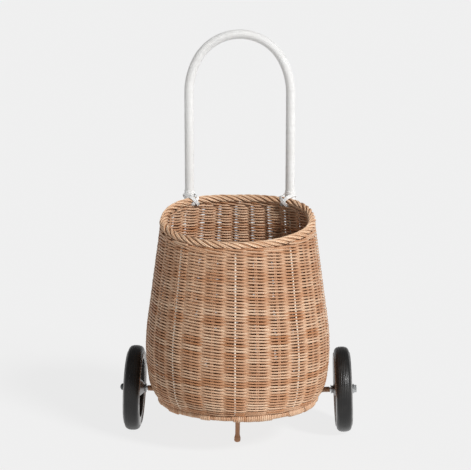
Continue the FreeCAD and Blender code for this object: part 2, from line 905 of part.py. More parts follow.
def make_handle_wrap():
    """The flat cane wound round the handle's pole, from under the rim over the arch and down again."""
    spring_z, join_x, join_z = arch_points()
    half, foot = dim("handle_half_width"), dim("wrap_foot")
    crown, shoulder = dim("handle_crown_radius"), dim("handle_shoulder_radius")
    body = new_body("handle_wrap")
    path = new_sketch(body, "handle_wrap_path", "XZ_Plane")
    chain = [
        (half, foot),
        (half, spring_z, shoulder, 1),
        (join_x, join_z, crown, 1),
        (-join_x, join_z, shoulder, 1),
        (-half, spring_z),
        (-half, foot),
    ]
    draw(path, chain, closed=False)
    section = new_sketch(body, "handle_wrap_section", "XY_Plane", foot)
    draw_circle(section, half, ZERO, dim("handle_wrap_radius"))
    draw_circle(section, half, ZERO, dim("handle_core_radius") + dim("fit_gap"))
    pipe(body, section, path)
    place(body, y=dim("handle_setback"))
    return body


def leg_edges(side, top):
    """One leg's line from its foot to the height top: it stands out behind the belly, then leans in."""
    x = dim("handle_half_width").value * side
    setback, low_setback = dim("handle_setback").value, dim("leg_lower_setback").value
    knee = FreeCAD.Vector(x, low_setback, dim("leg_lower_bend_height").value)
    bend = FreeCAD.Vector(x, setback, dim("leg_bend_height").value)
    foot = FreeCAD.Vector(x, low_setback, dim("leg_foot").value)
    head = FreeCAD.Vector(x, setback, top)
    lean = (bend - knee).normalize()
    up = FreeCAD.Vector(0, 0, 1)
    half_turn = lean.getAngle(up) / 2
    tangent_length = dim("leg_bend_radius").value * math.tan(half_turn)
    sagitta = dim("leg_bend_radius").value * (1 / math.cos(half_turn) - 1)
    edges = []
    start = foot
    for corner, before, after in ((knee, up, lean), (bend, lean, up)):
        arc_start = corner - before * tangent_length
        arc_end = corner + after * tangent_length
        middle = corner + (after - before).normalize() * sagitta
        edges.append(Part.LineSegment(start, arc_start).toShape())
        edges.append(Part.Arc(arc_start, middle, arc_end).toShape())
        start = arc_end
    edges.append(Part.LineSegment(start, head).toShape())
    return edges


def make_handle_pole():
    """The bent pole inside the wrap. It bends in two planes, so its line is joined up in code."""
    spring_z, join_x, join_z = (size.value for size in arch_points())
    y = dim("handle_setback").value
    half = dim("handle_half_width").value
    top_z = dim("handle_top").value - dim("handle_wrap_radius").value
    shoulder = dim("handle_shoulder_radius").value
    centre_x = half - shoulder
    half_angle = math.atan2(join_z - spring_z, join_x - centre_x) / 2
    middle_x = centre_x + shoulder * math.cos(half_angle)
    middle_z = spring_z + shoulder * math.sin(half_angle)

    def point(x, z):
        return FreeCAD.Vector(x, y, z)

    right_arc = Part.Arc(point(half, spring_z), point(middle_x, middle_z), point(join_x, join_z))
    crown_arc = Part.Arc(point(join_x, join_z), point(0, top_z), point(-join_x, join_z))
    left_arc = Part.Arc(point(-join_x, join_z), point(-middle_x, middle_z), point(-half, spring_z))
    edges = leg_edges(1, spring_z)
    edges += [right_arc.toShape(), crown_arc.toShape(), left_arc.toShape()]
    edges += leg_edges(-1, spring_z)[::-1]
    line = Part.Wire(Part.__sortEdges__(edges))
    start = FreeCAD.Vector(half, dim("leg_lower_setback").value, dim("leg_foot").value)
    circle = Part.Circle(start, FreeCAD.Vector(0, 0, 1), dim("handle_core_radius").value)
    pole = doc.addObject("Part::Feature", "handle_pole")
    pole.Label = "handle_pole"
    pole.Shape = line.makePipeShell([Part.Wire(circle.toShape())], True, False)
    pole.Placement = FreeCAD.Placement()
    expected = math.pi * dim("handle_core_radius").value ** 2 * line.Length
    assert abs(pole.Shape.Volume / expected - 1) < 0.01
    return pole


def make_leg_ties():
    """Cane bands round the bare legs, three on each, where they are tied to the basket's back."""
    bend, knee = dim("leg_bend_height").value, dim("leg_lower_bend_height").value
    setback, low_setback = dim("handle_setback").value, dim("leg_lower_setback").value
    core = dim("handle_core_radius").value + dim("fit_gap").value
    height = dim("tie_height").value
    bands = []
    for side in (-1, 1):
        for name in ("tie_upper", "tie_middle", "tie_lower"):
            z = dim(name).value
            leaning = z > knee
            y = low_setback + (setback - low_setback) * (z - knee) / (bend - knee) if leaning else low_setback
            lean = (setback - low_setback) / (bend - knee) if leaning else 0
            axis = FreeCAD.Vector(0, lean, 1).normalize()
            foot = FreeCAD.Vector(dim("handle_half_width").value * side, y, z) - axis * height / 2
            outer = Part.makeCylinder(core + dim("tie_thickness").value, height, foot, axis)
            inner = Part.makeCylinder(core, height, foot, axis)
            bands.append(outer.cut(inner))
    ties = doc.addObject("Part::Feature", "leg_ties")
    ties.Label = "leg_ties"
    ties.Shape = Part.makeCompound(bands)
    ties.Placement = FreeCAD.Placement()
    return ties


def make_rim_lashing(name, side):
    """Two crossed bands that tie a leg of the handle to the rim. They meet at a compound angle."""
    half, setback = dim("handle_half_width").value, dim("handle_setback").value
    leg_reach = math.hypot(half, setback)
    outward = FreeCAD.Vector(half * side, setback, 0) / leg_reach
    slant = math.radians(dim("rim_slant").value)
    rim_radius = dim("rim_radius").value
    along_rim = rim_radius * outward.y * math.cos(slant)
    centre = FreeCAD.Vector(
        outward.x * rim_radius, along_rim, dim("rim_height").value + rim_radius * outward.y * math.sin(slant)
    )
    play, thick = dim("lashing_play").value, dim("lashing_thickness").value
    wrap, width = dim("handle_wrap_radius").value, dim("lashing_width").value
    angle = math.radians(dim("lashing_angle").value)
    near = -(dim("border_radius").value + play)
    far = leg_reach - math.hypot(centre.x, centre.y) + wrap + play
    half_loop = (wrap + play + width / 2 * math.cos(angle)) / math.sin(angle)
    loops = []
    for tilt in (-angle, angle):
        size = FreeCAD.Vector(far - near, width, half_loop * 2)
        start = FreeCAD.Vector(near, -width / 2, -half_loop)
        grow = FreeCAD.Vector(thick, 0, thick)
        outer_start = start - grow
        outer_size = size + grow * 2
        outer = Part.makeBox(outer_size.x, outer_size.y, outer_size.z, outer_start)
        inner = Part.makeBox(size.x, size.y, size.z, start)
        loop = outer.cut(inner)
        loop.rotate(FreeCAD.Vector(), FreeCAD.Vector(1, 0, 0), math.degrees(tilt))
        loops.append(loop)
    lashing = doc.addObject("Part::Feature", name)
    lashing.Label = name
    lashing.Shape = loops[0].fuse(loops[1]).removeSplitter()
    turn = FreeCAD.Rotation(FreeCAD.Vector(1, 0, 0), outward)
    lashing.Placement = FreeCAD.Placement(centre, turn)
    return lashing


# ---- the whole basket


def make_parts():
    """Every node that is handed over."""
    lashings = [make_rim_lashing("rim_lashing_left", -1), make_rim_lashing("rim_lashing_right", 1)]
    parts = [
        make_side_weave(),
        make_side_stakes(),
        make_lower_waling(),
        make_upper_waling(lashings),
        make_rim_border(),
        make_base_weave(),
        make_base_sticks("base_sticks_lengthwise", "XZ_Plane", 0),
        make_base_sticks("base_sticks_crosswise", "YZ_Plane", 1),
        make_cross_pole(),
        make_peg(),
        make_axle_ties(),
        make_washers(),
        make_flange_nut(),
        make_dome_cap(),
        make_handle_wrap(),
        make_handle_pole(),
        make_leg_ties(),
    ]
    parts += lashings
    parts += make_foot_hoops()
    parts += make_axle()
    for side_name, side in (("left", -1), ("right", 1)):
        parts += make_wheel(side_name, side)
    return parts


def check_and_export(parts):
    """Stops on anything that failed, then writes each node to its own STEP file."""
    doc.recompute()
    for thing in doc.Objects:
        failed = [state for state in thing.State if state in ("Invalid", "Error")]
        assert not failed, f"{thing.Name}: {thing.State}"
    os.makedirs("parts", exist_ok=True)
    for part in parts:
        shape = part.Shape
        assert not shape.isNull() and shape.isValid() and shape.Solids, part.Label
        shape.exportStep(f"parts/{part.Label}.step")
        box = shape.BoundBox
        print(
            f"{part.Label}: {len(shape.Solids)} solids, {shape.Volume:.0f} mm3,"
            f" x {box.XMin:.1f}..{box.XMax:.1f}, y {box.YMin:.1f}..{box.YMax:.1f},"
            f" z {box.ZMin:.1f}..{box.ZMax:.1f}"
        )


fill_sheet()
check_and_export(make_parts())
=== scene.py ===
import math

import bpy
import numpy as np
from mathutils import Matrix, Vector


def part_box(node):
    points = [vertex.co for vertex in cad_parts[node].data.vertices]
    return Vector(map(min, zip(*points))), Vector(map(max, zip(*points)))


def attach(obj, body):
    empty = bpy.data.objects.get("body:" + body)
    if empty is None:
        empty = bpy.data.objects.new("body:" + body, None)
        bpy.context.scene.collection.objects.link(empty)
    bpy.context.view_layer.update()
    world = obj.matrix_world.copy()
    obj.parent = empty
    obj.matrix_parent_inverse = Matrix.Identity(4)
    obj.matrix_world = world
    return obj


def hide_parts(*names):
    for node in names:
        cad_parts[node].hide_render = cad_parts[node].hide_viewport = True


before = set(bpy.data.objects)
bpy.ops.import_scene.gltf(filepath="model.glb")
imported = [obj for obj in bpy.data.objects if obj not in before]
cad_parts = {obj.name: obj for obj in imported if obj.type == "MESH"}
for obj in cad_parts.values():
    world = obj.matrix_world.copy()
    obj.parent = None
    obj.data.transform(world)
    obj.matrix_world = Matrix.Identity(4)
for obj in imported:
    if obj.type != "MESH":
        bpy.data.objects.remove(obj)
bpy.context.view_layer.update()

# The looks of the pull-along basket, built round the CAD frame. Lengths are metres, angles are radians,
# the ground is z = 0 and the front of the basket faces -Y.

MM = 0.001
TURN = 2 * math.pi
# Each cane's grain starts somewhere else along a length of this many metres.
GRAIN_STARTS = 10
RANDOM = np.random.default_rng(26)


# ---- sizes, from the frame's boxes and a few cane thicknesses


def box_size(node):
    """The width, depth and height of a CAD node."""
    low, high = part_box(node)
    return [float(high[i] - low[i]) for i in range(3)]


def box_middle(node):
    """The middle of a CAD node's box."""
    low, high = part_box(node)
    return np.array([(float(low[i]) + float(high[i])) / 2 for i in range(3)])


BELLY_RADIUS = box_size("side_weave")[0] / 2
BELLY_HEIGHT = 140 * MM
BELLY_ARC = 290 * MM
CORNER_ARC = 52 * MM
CORNER_ANGLE = math.radians(9.6)
TAPER_ANGLE = math.radians(8)
WALL_TOP = 350 * MM

BASE_FLOOR = float(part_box("base_weave")[0][2])
BASE_RADIUS = box_size("base_weave")[0] / 2
WEAVE_FOOT = BASE_FLOOR + 2.6 * MM

RIM_SLANT = math.radians(9.5)
RIM_CENTRE = box_middle("rim_border")
BORDER_RADIUS = 6 * MM
RIM_RADIUS = box_size("rim_border")[0] / 2 - BORDER_RADIUS
WALING_HEIGHT = 4.2 * MM
BACK_DEPTH = 98.5 * MM
BACK_POWER = 2.6
BACK_KICK = 3.5 * MM
PLAN_START = 200 * MM

STAKES = 26
PALE_STAKES = (0, 3, 6, 10, 13, 16, 20, 23)
FRONT = -math.pi / 2

WEAVER_RADIUS = 1.38 * MM
WEAVER_WIDTH = 1.42 * MM
STAKE_RADIUS = 1.1 * MM
PALE_STAKE_RADIUS = 1.5 * MM
WALL_MIDDLE = 2 * WEAVER_RADIUS + STAKE_RADIUS
PAIR_SPACING = 2.5 * MM
WALL_ROWS = 54
WALL_BANDS = 5

HANDLE_SETBACK = float(box_middle("handle_wrap")[1])
HANDLE_RADIUS = box_size("handle_wrap")[1] / 2
HANDLE_TOP = float(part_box("handle_wrap")[1][2]) - HANDLE_RADIUS
WRAP_FOOT = float(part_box("handle_wrap")[0][2])
HANDLE_HALF_WIDTH = 75.8 * MM
HANDLE_CROWN = 71.8 * MM
HANDLE_SHOULDER = 105 * MM
POLE_RADIUS = float(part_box("handle_pole")[1][2]) - HANDLE_TOP
LEG_SETBACK = float(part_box("handle_pole")[1][1]) - POLE_RADIUS
LEG_FOOT = float(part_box("handle_pole")[0][2])
LEG_KNEE = 172 * MM
LEG_BEND = 300 * MM
LASHING_TOP = RIM_CENTRE[2] + 22 * MM
LASHING_TILT = math.radians(42)
WRAP_CANE = 0.6 * MM
WRAP_PITCH = 1.75 * MM
TIE_HEIGHT = 11 * MM

TYRE_WIDTH = 22 * MM
TYRE_SEAT = 50.2 * MM
TYRE_SIDE = 55.3 * MM
TREAD_PITCH = 2.6 * MM
TREAD_DEPTH = 0.35 * MM
TREAD_GROOVE = 0.45 * MM

HOOP_BOUND = box_size("foot_binding_front")[2] / 2
HOOP_CORE = box_size("foot_hoop_front")[2] / 2
HOOP_LEVEL = float(box_middle("foot_binding_front")[2])
HOOP_RADIUS = float(-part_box("foot_binding_front")[0][1]) - HOOP_BOUND
AXLE_SETBACK = float(box_middle("axle_rod")[1])
HOOP_CROSSING = math.asin(AXLE_SETBACK / HOOP_RADIUS)
HOOP_GAP = math.radians(3.2)
AXLE_TIE = 88 * MM
AXLE_TIE_LENGTH = 7 * MM
HOOP_SPANS = {
    "rear": (HOOP_CROSSING + HOOP_GAP, math.pi - 2 * (HOOP_CROSSING + HOOP_GAP)),
    "front": (math.pi - HOOP_CROSSING + HOOP_GAP, math.pi + 2 * (HOOP_CROSSING - HOOP_GAP)),
}

# The peg's shape: height above the floor in millimetres, and the share of its full radius.
PEG_SHAPE = (
    (0, 0.5), (0.5, 0.8), (1.5, 0.96), (4, 1.0), (7, 0.97),
    (9.5, 0.8), (12, 0.7), (30, 0.72), (58, 0.8),
)

FLOOR_REACH = 300
FLOOR_COLOUR = 0.08
FLOOR_GLOW = 0.80
SKY_HORIZON = 0.87
SKY_TOP = 0.15
SKY_FADE = 0.4
# Each light: its name, its strength, its spread in degrees and the way to it from the basket.
LIGHTS = (("key_light", 3.35, 12, (0.72, -0.7, 0.75)), ("fill_light", 0.08, 60, (-0.8, -0.7, 0.6)))

UP = np.array([0.0, 0.0, 1.0])
BACK = np.array([0.0, 1.0, 0.0])


# ---- canes: every woven or wound piece is a set of swept canes in one mesh


def unit(vectors):
    """The vectors at length 1."""
    return vectors / np.linalg.norm(vectors, axis=-1, keepdims=True)


def wander(count, step, amount):
    """A smooth random walk about zero: one fresh value each step, amount either way at most."""
    knots = RANDOM.uniform(-amount, amount, int(count / step) + 3)
    return np.interp(np.arange(count) / step, np.arange(len(knots)), knots)


def run_along(points):
    """The length of a path up to each of its points."""
    return np.concatenate([[0], np.cumsum(np.linalg.norm(np.diff(points, axis=0), axis=1))])


def new_object(name, data):
    """A new object in the scene."""
    thing = bpy.data.objects.new(name, data)
    bpy.context.scene.collection.objects.link(thing)
    return thing


class Canes:
    """Gathers swept canes, then makes them one mesh."""

    def __init__(self):
        self.points = []
        self.quads = []
        self.caps = []
        self.uvs = []
        self.tones = []
        self.painted_shades = []
        self.count = 0

    def sweep(self, centres, normals, width, thickness, tone=0.5, painted_shade=0.0, sides=8, closed=False):
        """Sweeps an oval along the centres. thickness is its radius along the normals, width the other."""
        count = len(centres)
        if closed:
            tangents = np.roll(centres, -1, 0) - np.roll(centres, 1, 0)
        else:
            tangents = np.gradient(centres, axis=0)
        tangents = unit(tangents)
        across = unit(np.cross(tangents, normals))
        lift = np.cross(across, tangents)
        angle = np.arange(sides) / sides * TURN
        wide = np.broadcast_to(np.asarray(width, float), (count,))[:, None, None]
        thick = np.broadcast_to(np.asarray(thickness, float), (count,))[:, None, None]
        ring = across[:, None, :] * wide * np.cos(angle)[None, :, None]
        ring = ring + lift[:, None, :] * thick * np.sin(angle)[None, :, None]
        self.add_rings(centres[:, None, :] + ring, tone, painted_shade, closed)

    def turned(self, profile, centre, axis, steps=256):
        """Turns a closed profile of (distance along the axis, radius) round the axis."""
        first = unit(np.cross(axis, BACK))
        second = np.cross(axis, first)
        angle = np.arange(steps) / steps * TURN
        reach = first[None, :] * np.cos(angle)[:, None] + second[None, :] * np.sin(angle)[:, None]
        rings = reach[:, None, :] * profile[None, :, 1:] + axis * profile[None, :, :1] + centre
        self.add_rings(rings, 0.5, 0.0, closed=True)

    def add_rings(self, rings, tone, painted_shade, closed):
        """Joins rings of points into a tube. tone is per ring. painted_shade, the share of painted shade in
        the colour, is per ring, or per ring and point.
        """
        count, sides, _ = rings.shape
        self.points.append(rings.reshape(-1, 3))
        rows = np.arange(count if closed else count - 1)
        along = (rows + 1) % count
        steps = np.arange(sides)
        around = (steps + 1) % sides
        pairs = ((rows, steps), (along, steps), (along, around), (rows, around))
        corners = [row[:, None] * sides + step[None, :] for row, step in pairs]
        self.quads.append(np.stack(corners, -1).reshape(-1, 4) + self.count)
        middles = rings.mean(1)
        length = run_along(middles)
        last_step = np.linalg.norm(middles[0] - middles[-1])
        length = np.append(length, length[-1] + last_step) + RANDOM.uniform(0, GRAIN_STARTS)
        here = np.broadcast_to(length[rows][:, None], (len(rows), sides))
        after = np.broadcast_to(length[rows + 1][:, None], (len(rows), sides))
        low = np.broadcast_to(steps[None, :] / sides, here.shape)
        high = low + 1 / sides
        uv = np.stack([here, low, after, low, after, high, here, high], -1)
        self.uvs.append(uv.reshape(-1, 2))
        if not closed:
            start = np.arange(sides) + self.count
            end = start[::-1] + (count - 1) * sides
            self.caps.append(start)
            self.caps.append(end)
        painted_shade = np.asarray(painted_shade, float)
        painted_shade = painted_shade if painted_shade.ndim == 2 else np.broadcast_to(painted_shade.reshape(-1, 1), (count, sides))
        self.tones.append(np.repeat(np.broadcast_to(np.asarray(tone, float), (count,)), sides))
        self.painted_shades.append(painted_shade.ravel())
        self.count += count * sides

    def make(self, name, material, body, slot, *nodes):
        """Makes the mesh, paints it and fixes it to its body in place of the CAD nodes."""
        mesh = bpy.data.meshes.new(name)
        points = np.concatenate(self.points)
        quads = np.concatenate(self.quads)
        corners = np.concatenate([quads.ravel()] + self.caps)
        sizes = [4] * len(quads) + [len(cap) for cap in self.caps]
        starts = np.cumsum([0] + sizes[:-1])
        mesh.vertices.add(len(points))
        mesh.vertices.foreach_set("co", points.astype(np.float32).ravel())
        mesh.loops.add(len(corners))
        mesh.loops.foreach_set("vertex_index", corners.astype(np.int32))
        mesh.polygons.add(len(starts))
        mesh.polygons.foreach_set("loop_start", starts.astype(np.int32))
        mesh.update(calc_edges=True)
        mesh.shade_smooth()
        uvs = np.concatenate(self.uvs + [np.zeros((len(corners) - quads.size, 2))])
        layer = mesh.uv_layers.new(name="along")
        layer.data.foreach_set("uv", uvs.astype(np.float32).ravel())
        # Point attributes for the material: each cane's tone, and its share of painted shade.
        for label, values in (("tone", self.tones), ("painted_shade", self.painted_shades)):
            attribute = mesh.attributes.new(label, "FLOAT", "POINT")
            attribute.data.foreach_set("value", np.concatenate(values).astype(np.float32))
        mesh.validate()
        mesh.materials.append(material)
        return fix(new_object(name, mesh), body, slot, *nodes)


def fix(piece, body, slot, *nodes):
    """Fixes a piece to its body and hides the CAD nodes that it stands for."""
    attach(piece, body)
    if nodes:
        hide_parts(*nodes)
    return piece


# ---- materials


class Nodes:
    """A short way to write a material's node tree."""

    def __init__(self, name):
        self.material = bpy.data.materials.new(name)
        self.material.use_nodes = True
        self.tree = self.material.node_tree
        self.shader = self.tree.nodes["Principled BSDF"]

    def add(self, kind, **settings):
        """Adds a node and sets its properties."""
        node = self.tree.nodes.new(kind)
        for key, value in settings.items():
            setattr(node, key, value)
        return node

    def link(self, source, target):
        """Joins two sockets."""
        self.tree.links.new(source, target)

    def set(self, **values):
        """Sets the shader's own sockets."""
        for key, value in values.items():
            self.shader.inputs[key.replace("_", " ")].default_value = value

    def noise(self, source, scale, detail=3.0, stretch=(1, 1, 1)):
        """Noise over a stretched coordinate."""
        mapping = self.add("ShaderNodeMapping")
        mapping.inputs["Scale"].default_value = stretch
        self.link(source, mapping.inputs["Vector"])
        noise = self.add("ShaderNodeTexNoise")
        noise.inputs["Scale"].default_value = scale
        noise.inputs["Detail"].default_value = detail
        self.link(mapping.outputs[0], noise.inputs["Vector"])
        return noise.outputs["Fac"]

    def spread(self, source, low, high, start=0.0, end=1.0):
        """Maps start..end to low..high."""
        node = self.add("ShaderNodeMapRange")
        node.inputs["From Min"].default_value = start
        node.inputs["From Max"].default_value = end
        node.inputs["To Min"].default_value = low
        node.inputs["To Max"].default_value = high
        self.link(source, node.inputs["Value"])
        return node.outputs["Result"]

    def mix(self, factor, first, second, blend="MIX"):
        """Mixes two colours. Each is a colour or a socket."""
        node = self.add("ShaderNodeMix", data_type="RGBA", blend_type=blend)
        for key, value in (("Factor", factor), ("A", first), ("B", second)):
            socket = [s for s in node.inputs if s.name == key and s.enabled][0]
            if isinstance(value, bpy.types.NodeSocket):
                self.link(value, socket)
            elif key == "Factor":
                socket.default_value = value
            else:
                socket.default_value = (*value, 1)
        return [s for s in node.outputs if s.enabled][0]

    def bump(self, height, strength, distance):
        """Adds a bump to the shader's normal."""
        node = self.add("ShaderNodeBump")
        node.inputs["Strength"].default_value = strength
        node.inputs["Distance"].default_value = distance
        self.link(height, node.inputs["Height"])
        self.link(node.outputs[0], self.shader.inputs["Normal"])


def cane_material(name, dark, light, stain, inner, roughness=(0.34, 0.62), bump=0.6):
    """Cane: a tone for each length, fibre streaks along it, stains, and painted shade deep in the weave: the
    inner colour, mixed in by the painted shade attribute.
    """
    nodes = Nodes(name)
    uv = nodes.add("ShaderNodeUVMap", uv_map="along").outputs[0]
    place = nodes.add("ShaderNodeTexCoord").outputs["Object"]
    tone = nodes.add("ShaderNodeAttribute", attribute_name="tone").outputs["Fac"]
    painted_shade = nodes.add("ShaderNodeAttribute", attribute_name="painted_shade").outputs["Fac"]
    fibres = nodes.noise(uv, 1.0, 3.0, (70, 24, 1))
    streaks = nodes.noise(uv, 1.0, 2.0, (26, 5, 1))
    slow = nodes.noise(uv, 1.0, 2.0, (16, 0.6, 1))
    patches = nodes.noise(place, 26.0, 3.0)
    flecks = nodes.noise(uv, 1.0, 2.0, (420, 9, 1))
    colour = nodes.mix(tone, dark, light)
    colour = nodes.mix(nodes.spread(patches, 0.0, 0.42, 0.45, 0.75), colour, stain)
    colour = nodes.mix(nodes.spread(slow, 0.0, 0.55, 0.5, 0.8), colour, light)
    colour = nodes.mix(nodes.spread(streaks, 0.0, 0.55, 0.46, 0.68), colour, dark)
    colour = nodes.mix(nodes.spread(fibres, 0.0, 0.55, 0.48, 0.68), colour, dark)
    colour = nodes.mix(nodes.spread(flecks, 0.0, 0.7, 0.66, 0.8), colour, stain)
    # Painted shade: the inner colour is mixed in by the painted shade attribute.
    colour = nodes.mix(painted_shade, colour, inner)
    nodes.link(colour, nodes.shader.inputs["Base Color"])
    nodes.link(nodes.spread(streaks, *roughness, 0.3, 0.75), nodes.shader.inputs["Roughness"])
    # Less specular where the painted shade lies.
    nodes.link(nodes.spread(painted_shade, 0.24, 0.03, 0.0, 0.7), nodes.shader.inputs["Specular IOR Level"])
    nodes.bump(fibres, bump, 0.25 * MM)
    return nodes.material


def metal_material(name, light, dark, roughness, metallic=1.0):
    """Plated or painted metal with faint blotches and fine scratches."""
    nodes = Nodes(name)
    place = nodes.add("ShaderNodeTexCoord").outputs["Object"]
    blotches = nodes.noise(place, 60.0, 4.0)
    scratches = nodes.noise(place, 400.0, 2.0, (1, 0.15, 0.15))
    colour = nodes.mix(nodes.spread(blotches, 0.0, 1.0, 0.35, 0.7), light, dark)
    nodes.link(colour, nodes.shader.inputs["Base Color"])
    nodes.link(nodes.spread(blotches, *roughness, 0.3, 0.7), nodes.shader.inputs["Roughness"])
    nodes.set(Metallic=metallic)
    nodes.bump(scratches, 0.15, 0.1 * MM)
    return nodes.material


def wheel_rings(nodes, side, spacing):
    """Fine rings round a wheel's own middle."""
    place = nodes.add("ShaderNodeTexCoord").outputs["Object"]
    centre = box_middle(f"{side}_hub")
    mapping = nodes.add("ShaderNodeMapping")
    mapping.inputs["Location"].default_value = [-float(value) for value in centre]
    nodes.link(place, mapping.inputs["Vector"])
    flat = nodes.add("ShaderNodeVectorMath", operation="MULTIPLY")
    flat.inputs[1].default_value = (0.0, 1.0, 1.0)
    nodes.link(mapping.outputs[0], flat.inputs[0])
    length = nodes.add("ShaderNodeVectorMath", operation="LENGTH")
    nodes.link(flat.outputs[0], length.inputs[0])
    line = nodes.add("ShaderNodeTexNoise", noise_dimensions="1D")
    line.inputs["Scale"].default_value = 1 / spacing
    line.inputs["Detail"].default_value = 2.0
    nodes.link(length.outputs["Value"], line.inputs["W"])
    return place, line.outputs["Fac"]


def rubber_material(side):
    """Half-matt black rubber with faint rings from its mould and a little dust."""
    nodes = Nodes(f"{side}_tyre_rubber")
    place, rings = wheel_rings(nodes, side, 1.1 * MM)
    dust = nodes.noise(place, 45.0, 5.0)
    colour = nodes.mix(nodes.spread(dust, 0.0, 1.0, 0.45, 0.8), (0.009, 0.0085, 0.0085), (0.022, 0.021, 0.02))
    nodes.link(colour, nodes.shader.inputs["Base Color"])
    nodes.link(nodes.spread(dust, 0.28, 0.48, 0.3, 0.7), nodes.shader.inputs["Roughness"])
    nodes.set(Specular_IOR_Level=0.4)
    nodes.bump(rings, 0.3, 0.1 * MM)
    return nodes.material


# The last colour given to each cane material is its painted shade colour.
WEAVER = cane_material(
    "weaver_cane", (0.385, 0.165, 0.068), (0.695, 0.51, 0.358), (0.35, 0.14, 0.052), (0.21, 0.058, 0.016)
)
BORDER = cane_material(
    "border_cane", (0.58, 0.335, 0.19), (0.91, 0.69, 0.495), (0.48, 0.25, 0.125), (0.23, 0.095, 0.04)
)
BROWN = cane_material(
    "brown_cane", (0.33, 0.16, 0.085), (0.60, 0.36, 0.22), (0.24, 0.115, 0.055), (0.12, 0.05, 0.024)
)
PALE = cane_material(
    "pale_cane", (0.66, 0.56, 0.45), (0.88, 0.82, 0.74), (0.58, 0.46, 0.35), (0.45, 0.34, 0.24)
)
WHITE = cane_material(
    "white_cane",
    (0.70, 0.695, 0.68),
    (0.79, 0.79, 0.785),
    (0.67, 0.655, 0.63),
    (0.42, 0.39, 0.36),
    roughness=(0.42, 0.58),
    bump=0.2,
)
ZINC = metal_material("zinc_plate", (0.47, 0.465, 0.46), (0.27, 0.26, 0.255), (0.3, 0.46))
BRIGHT = metal_material("bright_zinc", (0.70, 0.72, 0.73), (0.46, 0.47, 0.47), (0.22, 0.38))
CAP_GREY = metal_material("dark_cap", (0.16, 0.18, 0.18), (0.07, 0.075, 0.075), (0.3, 0.5), metallic=0.6)
# The wheel dish: partly its own near-black finish, partly painted shade for its deep recess.
DISH = metal_material("dark_dish_and_shade", (0.018, 0.017, 0.016), (0.035, 0.03, 0.028), (0.35, 0.55), metallic=0.0)


# ---- the basket's wall


def wall_outline():
    """The wall's outer line from the base to above the rim: its radii and its heights."""
    belly_x = BELLY_RADIUS - BELLY_ARC
    corner_x = belly_x + (BELLY_ARC - CORNER_ARC) * math.cos(CORNER_ANGLE)
    corner_z = BELLY_HEIGHT - (BELLY_ARC - CORNER_ARC) * math.sin(CORNER_ANGLE)
    low = math.asin((BASE_FLOOR - corner_z) / CORNER_ARC)
    bend = np.linspace(low, -CORNER_ANGLE, 200)
    belly = np.linspace(-CORNER_ANGLE, TAPER_ANGLE, 600)[1:]
    radius = np.concatenate([corner_x + CORNER_ARC * np.cos(bend), belly_x + BELLY_ARC * np.cos(belly)])
    height = np.concatenate([corner_z + CORNER_ARC * np.sin(bend), BELLY_HEIGHT + BELLY_ARC * np.sin(belly)])
    rise = WALL_TOP - height[-1]
    radius = np.append(radius, radius[-1] - rise * math.tan(TAPER_ANGLE))
    height = np.append(height, WALL_TOP)
    return radius, height


OUTLINE_RADIUS, OUTLINE_HEIGHT = wall_outline()


def plan(angle, height):
    """How far out the wall stands beside a circle: towards the rim, its back is squared off."""
    back = np.clip(np.sin(angle), 0, None)
    squared = np.abs(np.cos(angle)) ** BACK_POWER + (back * RIM_RADIUS / BACK_DEPTH) ** BACK_POWER
    factor = np.where(back > 0, squared ** (-1 / BACK_POWER), 1.0)
    share = np.clip((height - PLAN_START) / (RIM_CENTRE[2] - PLAN_START), 0, 1)
    return 1 + (factor - 1) * share**2 * (3 - 2 * share)


def kick(y):
    """How far the rim lifts off its slant towards the back."""
    share = np.clip(y / (BACK_DEPTH * 0.92), 0, 1)
    return BACK_KICK * share**2 * (3 - 2 * share)


def wall_point(angle, height, out=0.0, up=0.0):
    """A point of the wall at this angle and height, out from its middle and up along it, and the way out."""
    radius = np.interp(height, OUTLINE_HEIGHT, OUTLINE_RADIUS)
    step = 0.5 * MM
    slope = np.interp(height + step, OUTLINE_HEIGHT, OUTLINE_RADIUS)
    slope = (slope - np.interp(height - step, OUTLINE_HEIGHT, OUTLINE_RADIUS)) / (2 * step)
    size = np.sqrt(1 + slope**2)
    out_radial, out_upward = 1 / size, -slope / size
    distance = radius * plan(angle, height) + out_radial * (out - WALL_MIDDLE) + slope / size * up
    level = height + out_upward * (out - WALL_MIDDLE) + 1 / size * up
    points = np.stack([distance * np.cos(angle), distance * np.sin(angle), level], -1)
    normals = np.stack([out_radial * np.cos(angle), out_radial * np.sin(angle), out_upward], -1)
    return points, normals


def rim_line(angle, drop):
    """The height of the line that runs this far below the middle of the border."""
    y = RIM_RADIUS * plan(angle, RIM_CENTRE[2]) * np.sin(angle) * math.cos(RIM_SLANT)
    return RIM_CENTRE[2] - drop / math.cos(RIM_SLANT) + y * math.tan(RIM_SLANT) + kick(y)


FRONT_TOP = float(rim_line(FRONT, BORDER_RADIUS + WALING_HEIGHT))
BACK_TOP = float(rim_line(-FRONT, 0))
ROW_PITCH = (FRONT_TOP - WEAVE_FOOT) / WALL_ROWS


def twine(stake, grip=0.35):
    """How far a weaver has turned about its partner: it stays still over a stake and crosses between."""
    return math.pi * (stake - grip * np.sin(TURN * stake) / TURN)


def cane_tones(count, step, low=0.15, high=0.9):
    """A tone for each point of a long weaver, which is pieced together from canes of other colours."""
    lengths = RANDOM.uniform(0.6, 1.6, int(count / step) + 8) * step
    changes = np.cumsum(lengths)
    tones = RANDOM.uniform(low, high, len(changes))
    return tones[np.searchsorted(changes, np.arange(count))]


def painted_shade_sides(outside, amount, sides=8):
    """Painted shade on each side of a weaver: the side facing the wall's middle is painted dark, its flanks
    less so.
    """
    facing = np.sin(np.arange(sides) / sides * TURN)
    flanks = 0.5 * np.abs(outside)[:, None]
    return np.clip((flanks - outside[:, None] * facing[None, :]) * amount, 0, 0.8)


def stretches(keep):
    """The unbroken stretches of a mask, as slices."""
    edges = np.flatnonzero(np.diff(np.concatenate([[0], keep.astype(int), [0]])))
    return [slice(first, last) for first, last in zip(edges[::2], edges[1::2]) if last - first > 6]


